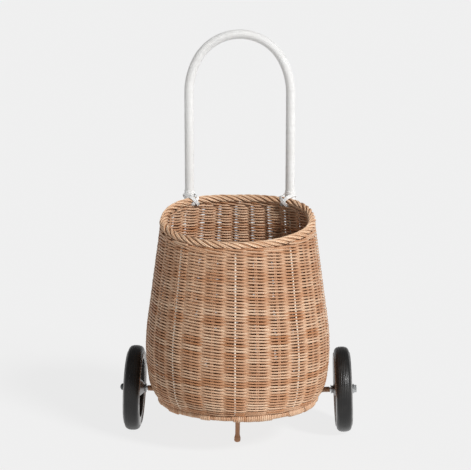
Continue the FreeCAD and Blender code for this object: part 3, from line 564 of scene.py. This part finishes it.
def make_side_weave():
    """Two weavers twined round the stakes in one level spiral, cut off by the slanting rim."""
    samples = 16
    bulge = 1.3 * MM
    uneven_rows = 0.3 * MM
    uneven_swing = 0.2 * MM
    uneven_lift = 0.17 * MM
    wider_between = 0.2 * MM
    wider_behind = 0.12 * MM
    per_turn = STAKES * samples
    turns = math.ceil((BACK_TOP - WEAVE_FOOT) / ROW_PITCH) + 1
    per_band = turns * per_turn // WALL_BANDS
    count = per_band * WALL_BANDS + 1
    stake = np.arange(count) / samples
    angle = FRONT + stake / STAKES * TURN
    height = WEAVE_FOOT + ROW_PITCH * np.clip(stake / STAKES - 0.5, 0, None)
    keep = height < rim_line(angle, BORDER_RADIUS * 0.6)
    shake = wander(count, per_turn / 5, uneven_rows)
    bands = [Canes() for _ in range(WALL_BANDS)]
    for weaver in range(2):
        turn = twine(stake) + math.pi * weaver
        outside = np.cos(turn)
        outside = np.where(outside < 0, -(outside**2), outside)
        between = np.sin(turn) ** 2
        swing = (WEAVER_RADIUS + STAKE_RADIUS) * outside + bulge * between
        swing = swing + wander(count, samples * 1.7, uneven_swing)
        lift = -ROW_PITCH / 4 * np.sin(turn) + shake + wander(count, samples * 2.3, uneven_lift)
        points, normals = wall_point(angle, height, swing, lift)
        thick = WEAVER_RADIUS * (1 + wander(count, per_turn / 9, 0.08))
        extra = wider_between * between + wider_behind * np.clip(2 * np.sin(angle), 0, 1)
        wide = thick * (WEAVER_WIDTH + extra) / WEAVER_RADIUS
        tones = cane_tones(count, per_turn * 2.2) + wander(count, samples * 3, 0.12)
        # Painted shade on each weaver's side that faces into the wall, and on its flanks.
        painted_shades = painted_shade_sides(outside, 0.9)
        for i, band in enumerate(bands):
            inside = np.zeros(count, bool)
            inside[i * per_band : (i + 1) * per_band + 1] = True
            for part in stretches(keep & inside):
                band.sweep(points[part], normals[part], wide[part], thick[part], tones[part], painted_shades[part])
    for i, band in enumerate(bands):
        band.make(f"side_weave_band_{i + 1}", WEAVER, "basket", "cane_natural", "side_weave")


def stake_angles():
    """The angle of each stake, from the front round to the right."""
    return FRONT + np.arange(STAKES) / STAKES * TURN


def make_side_stakes():
    """The upright stakes: single pale canes, and pairs of brown ones."""
    pale, brown = Canes(), Canes()
    samples = 90
    tuck_depth = 4.5 * MM
    tuck_height = 9 * MM
    drift_amount = 0.35 * MM
    waver_amount = 0.12 * MM
    for i, angle in enumerate(stake_angles()):
        top = float(rim_line(angle, BORDER_RADIUS * 0.5))
        height = np.linspace(BASE_FLOOR + 1 * MM, top, samples)
        tuck = tuck_depth * np.clip(1 - (top - height) / tuck_height, 0, 1)
        if i in PALE_STAKES:
            canes, offsets, size, proud = pale, (0,), PALE_STAKE_RADIUS, 1.65 * MM
        else:
            canes, offsets, size, proud = brown, (-PAIR_SPACING / 2, PAIR_SPACING / 2), STAKE_RADIUS, 1.5 * MM
        drift = wander(samples, 18, drift_amount)
        for offset in offsets:
            radius = np.interp(height, OUTLINE_HEIGHT, OUTLINE_RADIUS)
            sideways = (offset + drift + wander(samples, 14, waver_amount)) / radius
            points, normals = wall_point(angle + sideways, height, proud - tuck)
            canes.sweep(points, normals, size, size, RANDOM.uniform(0.35, 0.95))
    pale.make("side_stakes_pale", PALE, "basket", "cane_pale", "side_stakes")
    brown.make("side_stakes_brown", BROWN, "basket", "cane_brown", "side_stakes")


def waling(canes, place, rows, samples=14, lift_scale=1.0):
    """Rows of three-rod waling: each rod passes outside two stakes and inside the next."""
    count = STAKES * samples
    uneven_lift = 0.2 * MM
    stake = np.arange(count) / samples
    angle = FRONT + stake / STAKES * TURN
    for row in range(rows):
        for rod in range(3):
            turn = (stake - rod) / 3 * TURN
            swing = (WEAVER_RADIUS + STAKE_RADIUS) * np.clip(np.cos(turn) + 0.35, -1, 1)
            lift = -WEAVER_RADIUS * lift_scale * np.sin(turn) + wander(count, samples * 2, uneven_lift)
            points, normals = place(row, angle, swing, lift)
            tone = RANDOM.uniform(0.35, 0.9)
            # Painted shade on each rod's side that faces into the wall, and on its flanks.
            painted_shades = painted_shade_sides(np.cos(turn), 0.7)
            canes.sweep(points, normals, WEAVER_RADIUS, WEAVER_RADIUS, tone, painted_shades, closed=True)


def make_walings():
    """The close rows that hold the foot and the top of the wall, and those that close the base's edge."""
    lower, upper = Canes(), Canes()
    flat_rows = 2
    foot = BASE_FLOOR + 0.8 * MM
    head_drop = BORDER_RADIUS + WALING_HEIGHT * 0.45
    flat_pitch = (OUTLINE_RADIUS[0] - WALL_MIDDLE - BASE_RADIUS) / flat_rows

    def lower_row(row, angle, swing, lift):
        return wall_point(angle, np.full(len(angle), foot), swing, lift)

    def flat_row(row, angle, swing, lift):
        reach = BASE_RADIUS + flat_pitch * (row + 0.5) + lift
        level = BASE_FLOOR + WEAVER_RADIUS + STAKE_RADIUS - swing * 0.6
        points = np.stack([reach * np.cos(angle), reach * np.sin(angle), level], -1)
        return points, np.broadcast_to(-UP, points.shape)

    def upper_row(row, angle, swing, lift):
        return wall_point(angle, rim_line(angle, head_drop), swing, lift)

    waling(lower, flat_row, flat_rows, lift_scale=0.8)
    waling(lower, lower_row, 1, lift_scale=0.8)
    waling(upper, upper_row, 1, lift_scale=1.25)
    lower.make("lower_waling_rows", WEAVER, "basket", "cane_natural", "lower_waling")
    upper.make("upper_waling_rows", WEAVER, "basket", "cane_natural", "upper_waling")


# ---- the rim


def rim_ring(count):
    """Points on the middle of the border, the way out and the way up, all in the rim's slant."""
    angle = FRONT + np.arange(count) / count * TURN
    cos, sin = math.cos(RIM_SLANT), math.sin(RIM_SLANT)
    out = np.stack([np.cos(angle), np.sin(angle) * cos, np.sin(angle) * sin], -1)
    up = np.broadcast_to(np.array([0, -sin, cos]), out.shape)
    centres = RIM_CENTRE + out * RIM_RADIUS * plan(angle, RIM_CENTRE[2])[:, None]
    return centres + up * kick(centres[:, 1])[:, None], out, up


def close_up(values, start, blend=30):
    """Eases the last values into start, so that a closed cane has no step."""
    values[-blend:] = np.linspace(values[-blend], start, blend + 1)[:blend]
    return values


def make_rim_border():
    """The rolled border: bundles of fine canes laid round each other like a rope."""
    parts = [Canes(), Canes()]
    count = 900
    turns = 10
    bundles, per_bundle = 5, 4
    cane = 0.88 * MM
    bundle_path = 3.75 * MM
    bundle_spread = 1.4 * MM
    centres, out, up = rim_ring(count)
    place = np.arange(count) / count
    for bundle in range(bundles):
        roll = -(place * turns + bundle / bundles) * TURN + wander(count, 30, 0.13)
        roll = close_up(roll, roll[0] - turns * TURN)
        heart = out * np.cos(roll)[:, None] + up * np.sin(roll)[:, None]
        beside = -out * np.sin(roll)[:, None] + up * np.cos(roll)[:, None]
        path = bundle_path + close_up(wander(count, 36, 0.35 * MM), 0)
        for i in range(per_bundle):
            lean = (i / (per_bundle - 1) - 0.5) * math.radians(225) + wander(count, 30, 0.28)
            lean = close_up(lean, lean[0])
            cos, sin = np.cos(lean)[:, None], np.sin(lean)[:, None]
            reach = bundle_spread * cos * heart + bundle_spread * sin * beside
            points = centres + heart * path[:, None] + reach
            normals = unit(heart * bundle_path + reach)
            # Painted shade on the two side canes of each bundle, which lie down between the bundles.
            painted_shades = np.clip(0.55 - 0.65 * np.cos(lean * 0.85), 0, 0.6)
            tone = RANDOM.uniform(0.1, 1.0) + close_up(wander(count, 60, 0.25), 0)
            parts[bundle % 2].sweep(points, normals, cane, cane, tone, painted_shades, sides=8, closed=True)
    # A dark core in the rope's middle, nearly all painted shade, shows in the gaps between the bundles.
    core = BORDER_RADIUS * 0.55
    parts[1].sweep(centres, up, core, core, 0.2, 0.9, sides=10, closed=True)
    for i, part in enumerate(parts):
        part.make(f"rim_border_braid_{i + 1}", BORDER, "basket", "cane_natural", "rim_border")


# ---- the base, its foot hoop, its pole and the peg


def make_base():
    """The base: weavers twined flat round spokes, in one spiral."""
    canes, spokes = Canes(), Canes()
    samples, rows = 8, 25
    thin = 0.95 * MM
    inner = 14 * MM
    spoke_end = BASE_RADIUS + 5 * MM
    spoke_width = 1.5 * MM
    spoke_samples = 20
    level = BASE_FLOOR + 2 * thin + 0.9 * MM
    count = STAKES * samples * rows + 1
    stake = np.arange(count) / samples
    angle = FRONT + stake / STAKES * TURN
    pitch = (BASE_RADIUS - inner - 2 * thin) / (count - 1)
    up = np.broadcast_to(UP, (count, 3))
    for weaver in range(2):
        turn = twine(stake, 0.6) + math.pi * weaver
        radius = inner + np.arange(count) * pitch + thin * 1.1 * np.sin(turn)
        radius = radius + wander(count, samples * 3, 0.2 * MM)
        z = level - 1.8 * thin * np.cos(turn)
        points = np.stack([radius * np.cos(angle), radius * np.sin(angle), z], -1)
        size = thin * (1.25 + wander(count, samples * 7, 0.08))
        # A little painted shade over the whole mat: it is darker and less glossy.
        canes.sweep(points, up, size * 1.25, size, cane_tones(count, 500), 0.15, sides=6)
    for angle in stake_angles():
        reach = np.linspace(inner * 0.6, spoke_end, spoke_samples)
        z = np.full(spoke_samples, level)
        points = np.stack([reach * math.cos(angle), reach * math.sin(angle), z], -1)
        up = np.broadcast_to(UP, points.shape)
        spokes.sweep(points, up, spoke_width, thin, RANDOM.uniform(0.3, 0.9))
    canes.make("base_weave_mat", WEAVER, "basket", "cane_natural", "base_weave")
    spokes.make("base_spokes", BROWN, "basket", "cane_brown", "base_weave")
    for node in ("base_sticks_lengthwise", "base_sticks_crosswise"):
        make_base_sticks(node)


def make_base_sticks(node):
    """The sticks across the base, a little uneven, in place of the CAD's straight ones."""
    canes = Canes()
    low, high = (np.array(corner, float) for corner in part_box(node))
    long_way = 1 if node.endswith("lengthwise") else 0
    short_way = 1 - long_way
    radius = (high[2] - low[2]) / 2
    count, sticks = 40, 4
    spread = high[short_way] - low[short_way] - 2 * radius
    for i in range(sticks):
        points = np.zeros((count, 3))
        points[:, long_way] = np.linspace(low[long_way], high[long_way], count)
        middle = low[short_way] + radius + spread * i / (sticks - 1)
        points[:, short_way] = middle + wander(count, 9, 0.25 * MM)
        points[:, 2] = (low[2] + high[2]) / 2
        up = np.broadcast_to(UP, points.shape)
        size = radius * (0.93 + wander(count, 7, 0.05))
        canes.sweep(points, up, size, size, RANDOM.uniform(0.3, 0.9), sides=10)
    canes.make(f"{node}_canes", PALE, "basket", "cane_pale", node)


def wind(
    canes, centres, out, up, radius, pitch, cane, samples=14, tone=0.5, uneven=0.04, shades=0.35, starts=1
):
    """Winds canes round a path, starts of them side by side. out and up are square to the path."""
    run = run_along(centres)
    count = max(8, int(run[-1] / pitch * samples))
    place = np.linspace(0, run[-1], count)

    def along(values):
        return np.stack([np.interp(place, run, values[:, i]) for i in range(3)], -1)

    for start in range(starts):
        turn = (place / pitch + start / starts) * TURN + wander(count, samples * 3, uneven * 4)
        cos, sin = np.cos(turn)[:, None], np.sin(turn)[:, None]
        normals = unit(along(out)) * cos + unit(along(up)) * sin
        size = np.interp(place, run, np.broadcast_to(radius, run.shape))
        size = size * (1 + wander(count, samples * 2.4, uneven))
        points = along(centres) + normals * size[:, None]
        tones = np.clip(tone + wander(count, samples * 1.5, shades), 0, 1)
        canes.sweep(points, normals, pitch / starts * 0.52, cane, tones)


def hoop_path(half, count=160):
    """The middle line of one length of the foot hoop, with the way out and up."""
    start, sweep = HOOP_SPANS[half]
    angle = np.linspace(start, start + sweep, count)
    out = np.stack([np.cos(angle), np.sin(angle), np.zeros(count)], -1)
    up = np.broadcast_to(UP, out.shape)
    centres = out * HOOP_RADIUS + UP * HOOP_LEVEL
    return centres, out, up


def make_foot_hoop():
    """The cane hoop under the base, bound all round, with a fuller second binding here and there."""
    for half in HOOP_SPANS:
        centres, out, up = hoop_path(half)
        core = Canes()
        core.sweep(centres, up, HOOP_CORE * 0.95, HOOP_CORE * 0.95, 0.5)
        core.make(f"foot_hoop_{half}_cane", BROWN, "basket", "cane_brown", f"foot_hoop_{half}")
        binding = Canes()
        cane = 0.75 * MM
        wind(binding, centres, out, up, HOOP_BOUND - cane, 2.3 * MM, cane, tone=0.6, uneven=0.09)
        spans = 9 if half == "front" else 5
        count = len(centres)
        for i in range(spans):
            middle = int((i + 0.5 + RANDOM.uniform(-0.25, 0.25)) * count / spans)
            reach = int(RANDOM.integers(3, 8))
            part = slice(max(0, middle - reach), min(count, middle + reach + 1))
            top = HOOP_BOUND + cane * RANDOM.uniform(0.3, 1.1)
            path = (centres[part], out[part], up[part])
            wind(binding, *path, top, 2.9 * MM, cane * 1.2, tone=0.7, uneven=0.09)
        binding.make(f"foot_binding_{half}_cane", WEAVER, "basket", "cane_natural", f"foot_binding_{half}")


def pole(canes, centres, normals, radius, tone, knots=(), sides=16):
    """A rattan pole, with a low ring, a groove and a dark mark at each knot."""
    count = len(centres)
    ring_width = 1.6 * MM
    mark_width = 2.5 * MM
    run = run_along(centres)
    size = 1.0 + wander(count, 10, 0.02)
    tones = np.full(count, tone)
    for knot in knots:
        away = run - knot * run[-1]
        ring = away / ring_width
        size += 0.07 * np.exp(-(ring**2)) - 0.05 * np.exp(-((ring - 1.5) ** 2))
        tones -= 0.5 * np.exp(-((away / mark_width) ** 2))
    canes.sweep(centres, normals, radius * size, radius * size, np.clip(tones, 0, 1), sides=sides)


def make_peg():
    """The peg in front and the pole that carries it."""
    setback = float(box_middle("front_peg")[1])
    foot_radius = box_size("front_peg")[0] / 2
    shoulder = HOOP_LEVEL - HOOP_BOUND
    samples = 70
    heights = np.linspace(0, shoulder, samples)
    levels, shares = np.array(PEG_SHAPE).T
    lean = 0.5 * MM * np.sin(heights / shoulder * math.pi)
    centres = np.stack([lean, np.full(samples, setback), heights], -1)
    normals = np.broadcast_to(-BACK, centres.shape)
    peg = Canes()
    sizes = np.interp(heights, levels * MM, shares) * foot_radius * (1 + wander(samples, 7, 0.025))
    tones = 0.55 + wander(samples, 6, 0.25)
    peg.sweep(centres, normals, sizes, sizes, tones, sides=20)
    peg.make("front_peg_turned", BROWN, "basket", "cane_brown", "front_peg")
    low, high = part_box("peg_cross_pole")
    cross = Canes()
    count = 120
    line = np.linspace(float(low[0]), float(high[0]), count)
    centres = np.stack([line, np.full(count, setback), np.full(count, HOOP_LEVEL)], -1)
    normals = np.broadcast_to(UP, centres.shape)
    pole(cross, centres, normals, HOOP_BOUND * 0.97, 0.6, knots=(0.23, 0.71))
    cross.make("peg_cross_pole_cane", BROWN, "basket", "cane_brown", "peg_cross_pole")


# ---- the axle


def axle_line(low, high, count):
    """The axle's bowed line from x = low to x = high, with the ways back and up."""
    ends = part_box("axle_rod")
    rod = box_size("axle_rod")[1] / 2
    bottom = float(ends[0][2]) + rod
    wheel_middle = float(box_middle("right_hub")[0])
    wheel_level = float(box_middle("right_hub")[2])
    rise = (wheel_level - bottom) / wheel_middle**2
    x = np.linspace(low, high, count)
    centres = np.stack([x, np.full(count, AXLE_SETBACK), bottom + rise * x**2], -1)
    back = np.broadcast_to(BACK, centres.shape)
    up = np.broadcast_to(UP, centres.shape)
    return centres, back, up


def make_axle():
    """The pole round the axle, bound with brown cane, and the ties beside the hoop."""
    half = float(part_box("axle_pole")[1][0])
    radius = box_size("axle_pole")[1] / 2
    centres, back, up = axle_line(-half, half, 200)
    canes = Canes()
    cane = 0.6 * MM
    wind(canes, centres, back, up, radius - cane, 2.1 * MM, cane, tone=0.45, uneven=0.04)
    core = radius - cane * 1.3
    canes.sweep(centres, up, core, core, 0.2)
    canes.make("axle_pole_bound", BROWN, "basket", "cane_brown", "axle_pole")
    ties = Canes()
    outer = float(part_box("axle_ties")[1][0]) - AXLE_TIE_LENGTH / 2
    for side in (-1, 1):
        for middle in (AXLE_TIE, outer):
            low, high = (side * middle + step * AXLE_TIE_LENGTH / 2 for step in (-1, 1))
            centres, back, up = axle_line(low, high, 12)
            wind(ties, centres, back, up, radius + cane * 0.4, 1.5 * MM, 0.55 * MM, tone=0.6)
    ties.make("axle_ties_bound", WEAVER, "basket", "cane_natural", "axle_ties")


# ---- the handle


def arch_path(count=420):
    """The handle's middle line, from the foot of the wrap on the right, over the top, to the left foot."""
    shoulder_x = HANDLE_HALF_WIDTH - HANDLE_SHOULDER
    reach = HANDLE_SHOULDER - HANDLE_CROWN
    rise = math.sqrt(reach**2 - shoulder_x**2)
    crown_z = HANDLE_TOP - HANDLE_CROWN
    spring_z = crown_z - rise
    join = math.atan2(rise, -shoulder_x)
    lower = np.linspace(0, join, 60)
    crown = np.linspace(join, math.pi / 2, 60)[1:]
    x = np.concatenate([[HANDLE_HALF_WIDTH], shoulder_x + HANDLE_SHOULDER * np.cos(lower)])
    z = np.concatenate([[WRAP_FOOT], spring_z + HANDLE_SHOULDER * np.sin(lower)])
    x = np.concatenate([x, HANDLE_CROWN * np.cos(crown)])
    z = np.concatenate([z, crown_z + HANDLE_CROWN * np.sin(crown)])
    x = np.concatenate([x, -x[-2::-1]])
    z = np.concatenate([z, z[-2::-1]])
    run = run_along(np.stack([x, z], -1))
    even = np.linspace(0, run[-1], count)
    x, z = np.interp(even, run, x), np.interp(even, run, z)
    centres = np.stack([x, np.full(count, HANDLE_SETBACK), z], -1)
    tangents = unit(np.gradient(centres, axis=0))
    back = np.broadcast_to(BACK, centres.shape)
    return centres, back, np.cross(tangents, back)


def make_handle():
    """The wound arch: an even layer all round it, and a second, thicker one above each lashing."""
    centres, back, side = arch_path()
    wrap = Canes()
    even = dict(samples=16, tone=0.6, uneven=0.012, shades=0.16)
    thick = dict(samples=40, tone=0.7, uneven=0.02, shades=0.15, starts=4)
    wind(wrap, centres, back, side, HANDLE_RADIUS - WRAP_CANE, WRAP_PITCH, WRAP_CANE, **even)
    # The core under the wrap carries painted shade, which shows between the turns.
    core = HANDLE_RADIUS - WRAP_CANE * 1.4
    wrap.sweep(centres, back, core, core, 0.3, 0.6)
    height = centres[:, 2]
    reach = 26 * MM
    for end in (centres[:, 0] > 0, centres[:, 0] < 0):
        part = end & (height > LASHING_TOP - reach * 0.6) & (height < LASHING_TOP + reach * 0.4)
        share = (height[part] - height[part].min()) / reach
        size = HANDLE_RADIUS + WRAP_CANE * (1.3 - 1.5 * share)
        wind(wrap, centres[part], back[part], side[part], size, 12 * MM, WRAP_CANE, **thick)
    wrap.make("handle_wrap_cane", WHITE, "basket", "cane_white", "handle_wrap")


def leg_line(low, high, side, count):
    """The line of a leg behind the basket from height low to high, with the ways back and across."""
    z = np.linspace(low, high, count)
    bend = 16 * MM
    steps = np.linspace(-bend, bend, 21)
    heights = [0, LEG_KNEE, LEG_BEND, 1]
    setbacks = [LEG_SETBACK, LEG_SETBACK, HANDLE_SETBACK, HANDLE_SETBACK]
    y = np.interp(z[:, None] + steps[None, :], heights, setbacks).mean(1)
    centres = np.stack([np.full(count, HANDLE_HALF_WIDTH * side), y, z], -1)
    across = np.broadcast_to(np.array([1.0, 0.0, 0.0]), centres.shape)
    return centres, np.cross(unit(np.gradient(centres, axis=0)), across), across


def make_legs():
    """The bare legs that run down behind the basket, each with two knots, and the canes that tie them."""
    legs, ties = Canes(), Canes()
    cane = 0.6 * MM
    low, high = (float(corner[2]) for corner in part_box("leg_ties"))
    lowest = low + TIE_HEIGHT / 2
    levels = (lowest, lowest + 48 * MM, high - TIE_HEIGHT / 2)
    for side, knots in ((-1, (0.31, 0.8)), (1, (0.4, 0.7))):
        centres, back, across = leg_line(LEG_FOOT, WRAP_FOOT + 12 * MM, side, 240)
        pole(legs, centres, back, POLE_RADIUS, 0.6, knots)
        for level in levels:
            centres, back, across = leg_line(level - TIE_HEIGHT / 2, level + TIE_HEIGHT / 2, side, 20)
            wind(ties, centres, back, across, POLE_RADIUS + cane, 1.8 * MM, cane, 14, 0.6, 0.03)
    legs.make("handle_legs_cane", BROWN, "basket", "cane_brown", "handle_pole")
    ties.make("leg_ties_cane", WEAVER, "basket", "cane_natural", "leg_ties")


def hull(points):
    """The convex hull of points in a plane, anticlockwise."""
    points = sorted(map(tuple, points))

    def chain(sequence):
        kept = []
        for point in sequence:
            while len(kept) > 1:
                (ax, ay), (bx, by) = kept[-2:]
                if (bx - ax) * (point[1] - ay) - (by - ay) * (point[0] - ax) > 0:
                    break
                kept.pop()
            kept.append(point)
        return kept

    return np.array(chain(points)[:-1] + chain(points[::-1])[:-1])


def lashing_loop(distance, tilt, play, count=90):
    """A loop drawn tight round the border and a leg this far from it, in a plane tilted from upright."""
    angle = np.linspace(0, TURN, 200, endpoint=False)
    border = BORDER_RADIUS + play
    leg = HANDLE_RADIUS + play
    first = np.stack([border * np.cos(angle), border / math.cos(tilt) * np.sin(angle)], -1)
    second = np.stack([distance + leg * np.cos(angle), leg / math.sin(tilt) * np.sin(angle)], -1)
    outline = hull(np.concatenate([first, second]))
    closed = np.concatenate([outline, outline[:1]])
    run = run_along(closed)
    even = np.linspace(0, run[-1], count, endpoint=False)
    loop = np.stack([np.interp(even, run, closed[:, i]) for i in range(2)], -1)
    for _ in range(3):
        loop = (np.roll(loop, 1, 0) + 2 * loop + np.roll(loop, -1, 0)) / 4
    steps = np.roll(loop, -1, 0) - np.roll(loop, 1, 0)
    normal = unit(np.stack([steps[:, 1], -steps[:, 0]], -1))
    return loop, normal


def make_rim_lashings():
    """White canes crossed over the border and round each leg."""
    cane_width = 0.95 * MM
    cane_thickness = 0.6 * MM
    cane_spacing = 1.75 * MM
    tilt = LASHING_TILT
    for name, side in (("left", -1), ("right", 1)):
        leg = np.array([HANDLE_HALF_WIDTH * side, HANDLE_SETBACK])
        centres, _, _ = rim_ring(900)
        rim = centres[np.argmin(np.linalg.norm(centres[:, :2] - leg, axis=1))]
        distance = float(np.linalg.norm(leg - rim[:2]))
        out = np.append(leg - rim[:2], 0) / distance
        across = np.cross(UP, out)
        canes = Canes()
        for layer, lean in enumerate((-tilt, tilt)):
            direction = UP * math.cos(lean) + across * math.sin(lean)
            edge = np.cross(out, direction)
            loop, normal = lashing_loop(distance, tilt, 0.8 * MM + 0.7 * MM * layer)
            for i in range(3):
                shift = (i - 1) * cane_spacing
                points = rim + out * loop[:, :1] + direction * loop[:, 1:] + edge * shift
                normals = out * normal[:, :1] + direction * normal[:, 1:]
                tone = RANDOM.uniform(0.6, 1.0)
                canes.sweep(points, normals, cane_width, cane_thickness, tone, closed=True)
        canes.make(f"rim_lashing_{name}_cane", WHITE, "basket", "cane_white", f"rim_lashing_{name}")


# ---- the wheels and fittings


def wheel_axis(side):
    """The way along a wheel's axle, outwards: the axle is bowed, so the wheels lean."""
    centres, _, _ = axle_line(0, float(box_middle(f"{side}_hub")[0]), 400)
    return unit(centres[-1] - centres[-2])


def make_tyre(side):
    """A tyre with round shoulders and shallow rings on its tread."""
    centre = box_middle(f"{side}_tyre")
    axis = wheel_axis(side)
    radius = box_size(f"{side}_tyre")[1] / 2
    half = TYRE_WIDTH / 2
    roundness = 2.45
    shoulder = radius - TYRE_SIDE
    angle = np.linspace(0, math.pi, 97)
    x = half * np.sign(np.cos(angle)) * np.abs(np.cos(angle)) ** (2 / roundness)
    reach = TYRE_SIDE + shoulder * np.sin(angle) ** (2 / roundness)
    rings = np.arange(-2, 3) * TREAD_PITCH
    reach -= TREAD_DEPTH * np.exp(-(((x[:, None] - rings) / TREAD_GROOVE) ** 2)).sum(1)
    seat = half * 0.78
    inner = np.array([[-seat, TYRE_SIDE], [-seat, TYRE_SEAT], [seat, TYRE_SEAT], [seat, TYRE_SIDE]])
    tyre = Canes()
    tyre.turned(np.concatenate([np.stack([x, reach], -1), inner]), centre, axis)
    rubber = rubber_material(side)
    tyre.make(f"{side}_tyre_rounded", rubber, f"{side}_wheel", "tyre_rubber", f"{side}_tyre")


def paint(node, material):
    """Gives a CAD node its finish."""
    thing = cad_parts[node]
    thing.data.materials.clear()
    thing.data.materials.append(material)


def paint_fittings():
    """Finishes for the nodes that are shown as they are in the frame."""
    for side in ("left", "right"):
        # The dish is near black: its own dark finish, and painted shade for its recess.
        paint(f"{side}_wheel_disc", DISH)
        for part in ("inner_flange", "outer_flange", "hub"):
            paint(f"{side}_{part}", ZINC)
    for node in ("axle_rod", "axle_washers", "right_flange_nut"):
        paint(node, BRIGHT)
    paint("left_dome_cap", CAP_GREY)


# ---- the studio


def make_floor():
    """A wide pale floor, plain in colour."""
    nodes = Nodes("studio_floor")
    nodes.set(Roughness=1.0, Specular_IOR_Level=0.0)
    nodes.shader.inputs["Base Color"].default_value = (FLOOR_COLOUR, FLOOR_COLOUR, FLOOR_COLOUR, 1)
    nodes.shader.inputs["Emission Color"].default_value = (1, 1, 1, 1)
    nodes.shader.inputs["Emission Strength"].default_value = FLOOR_GLOW
    mesh = bpy.data.meshes.new("studio_floor")
    corners = [(x * FLOOR_REACH, y * FLOOR_REACH, 0) for x, y in ((-1, -1), (1, -1), (1, 1), (-1, 1))]
    mesh.from_pydata(corners, [], [(0, 1, 2, 3)])
    mesh.materials.append(nodes.material)
    new_object("studio_floor", mesh)


def make_lights():
    """Soft light from the front right, weaker light from the left, and a pale surround."""
    for name, energy, size, (x, y, z) in LIGHTS:
        data = bpy.data.lights.new(name, "SUN")
        data.energy = energy
        data.angle = math.radians(size)
        light = new_object(name, data)
        light.rotation_euler = (math.atan2(math.hypot(x, y), z), 0, math.atan2(y, x) + math.pi / 2)
    world = bpy.data.worlds.new("studio")
    world.use_nodes = True
    bpy.context.scene.world = world
    tree = world.node_tree
    place = tree.nodes.new("ShaderNodeTexCoord")
    split = tree.nodes.new("ShaderNodeSeparateXYZ")
    fade = tree.nodes.new("ShaderNodeMapRange")
    fade.inputs["From Max"].default_value = SKY_FADE
    fade.inputs["To Min"].default_value = SKY_HORIZON
    fade.inputs["To Max"].default_value = SKY_TOP
    tree.links.new(place.outputs["Generated"], split.inputs[0])
    tree.links.new(split.outputs["Z"], fade.inputs["Value"])
    tree.links.new(fade.outputs["Result"], tree.nodes["Background"].inputs["Strength"])
    tree.nodes["Background"].inputs["Color"].default_value = (1, 1, 1, 1)


def make_camera():
    """The camera, in front and a little above the rim."""
    distance, height = 2.0, 0.643
    swing, pitch = math.radians(1.7), math.radians(9.66)
    data = bpy.data.cameras.new("photo_camera")
    data.lens, data.sensor_width = 107.2, 36
    data.shift_x = -0.0049
    camera = new_object("photo_camera", data)
    camera.location = (distance * math.sin(swing), -distance * math.cos(swing), height)
    camera.rotation_euler = (math.pi / 2 - pitch, 0, swing)
    bpy.context.scene.camera = camera


make_side_weave()
make_side_stakes()
make_walings()
make_rim_border()
make_base()
make_foot_hoop()
make_peg()
make_axle()
make_handle()
make_legs()
make_rim_lashings()
make_tyre("left")
make_tyre("right")
paint_fittings()
make_floor()
make_lights()
make_camera()
bpy.context.scene.view_settings.view_transform = "Standard"
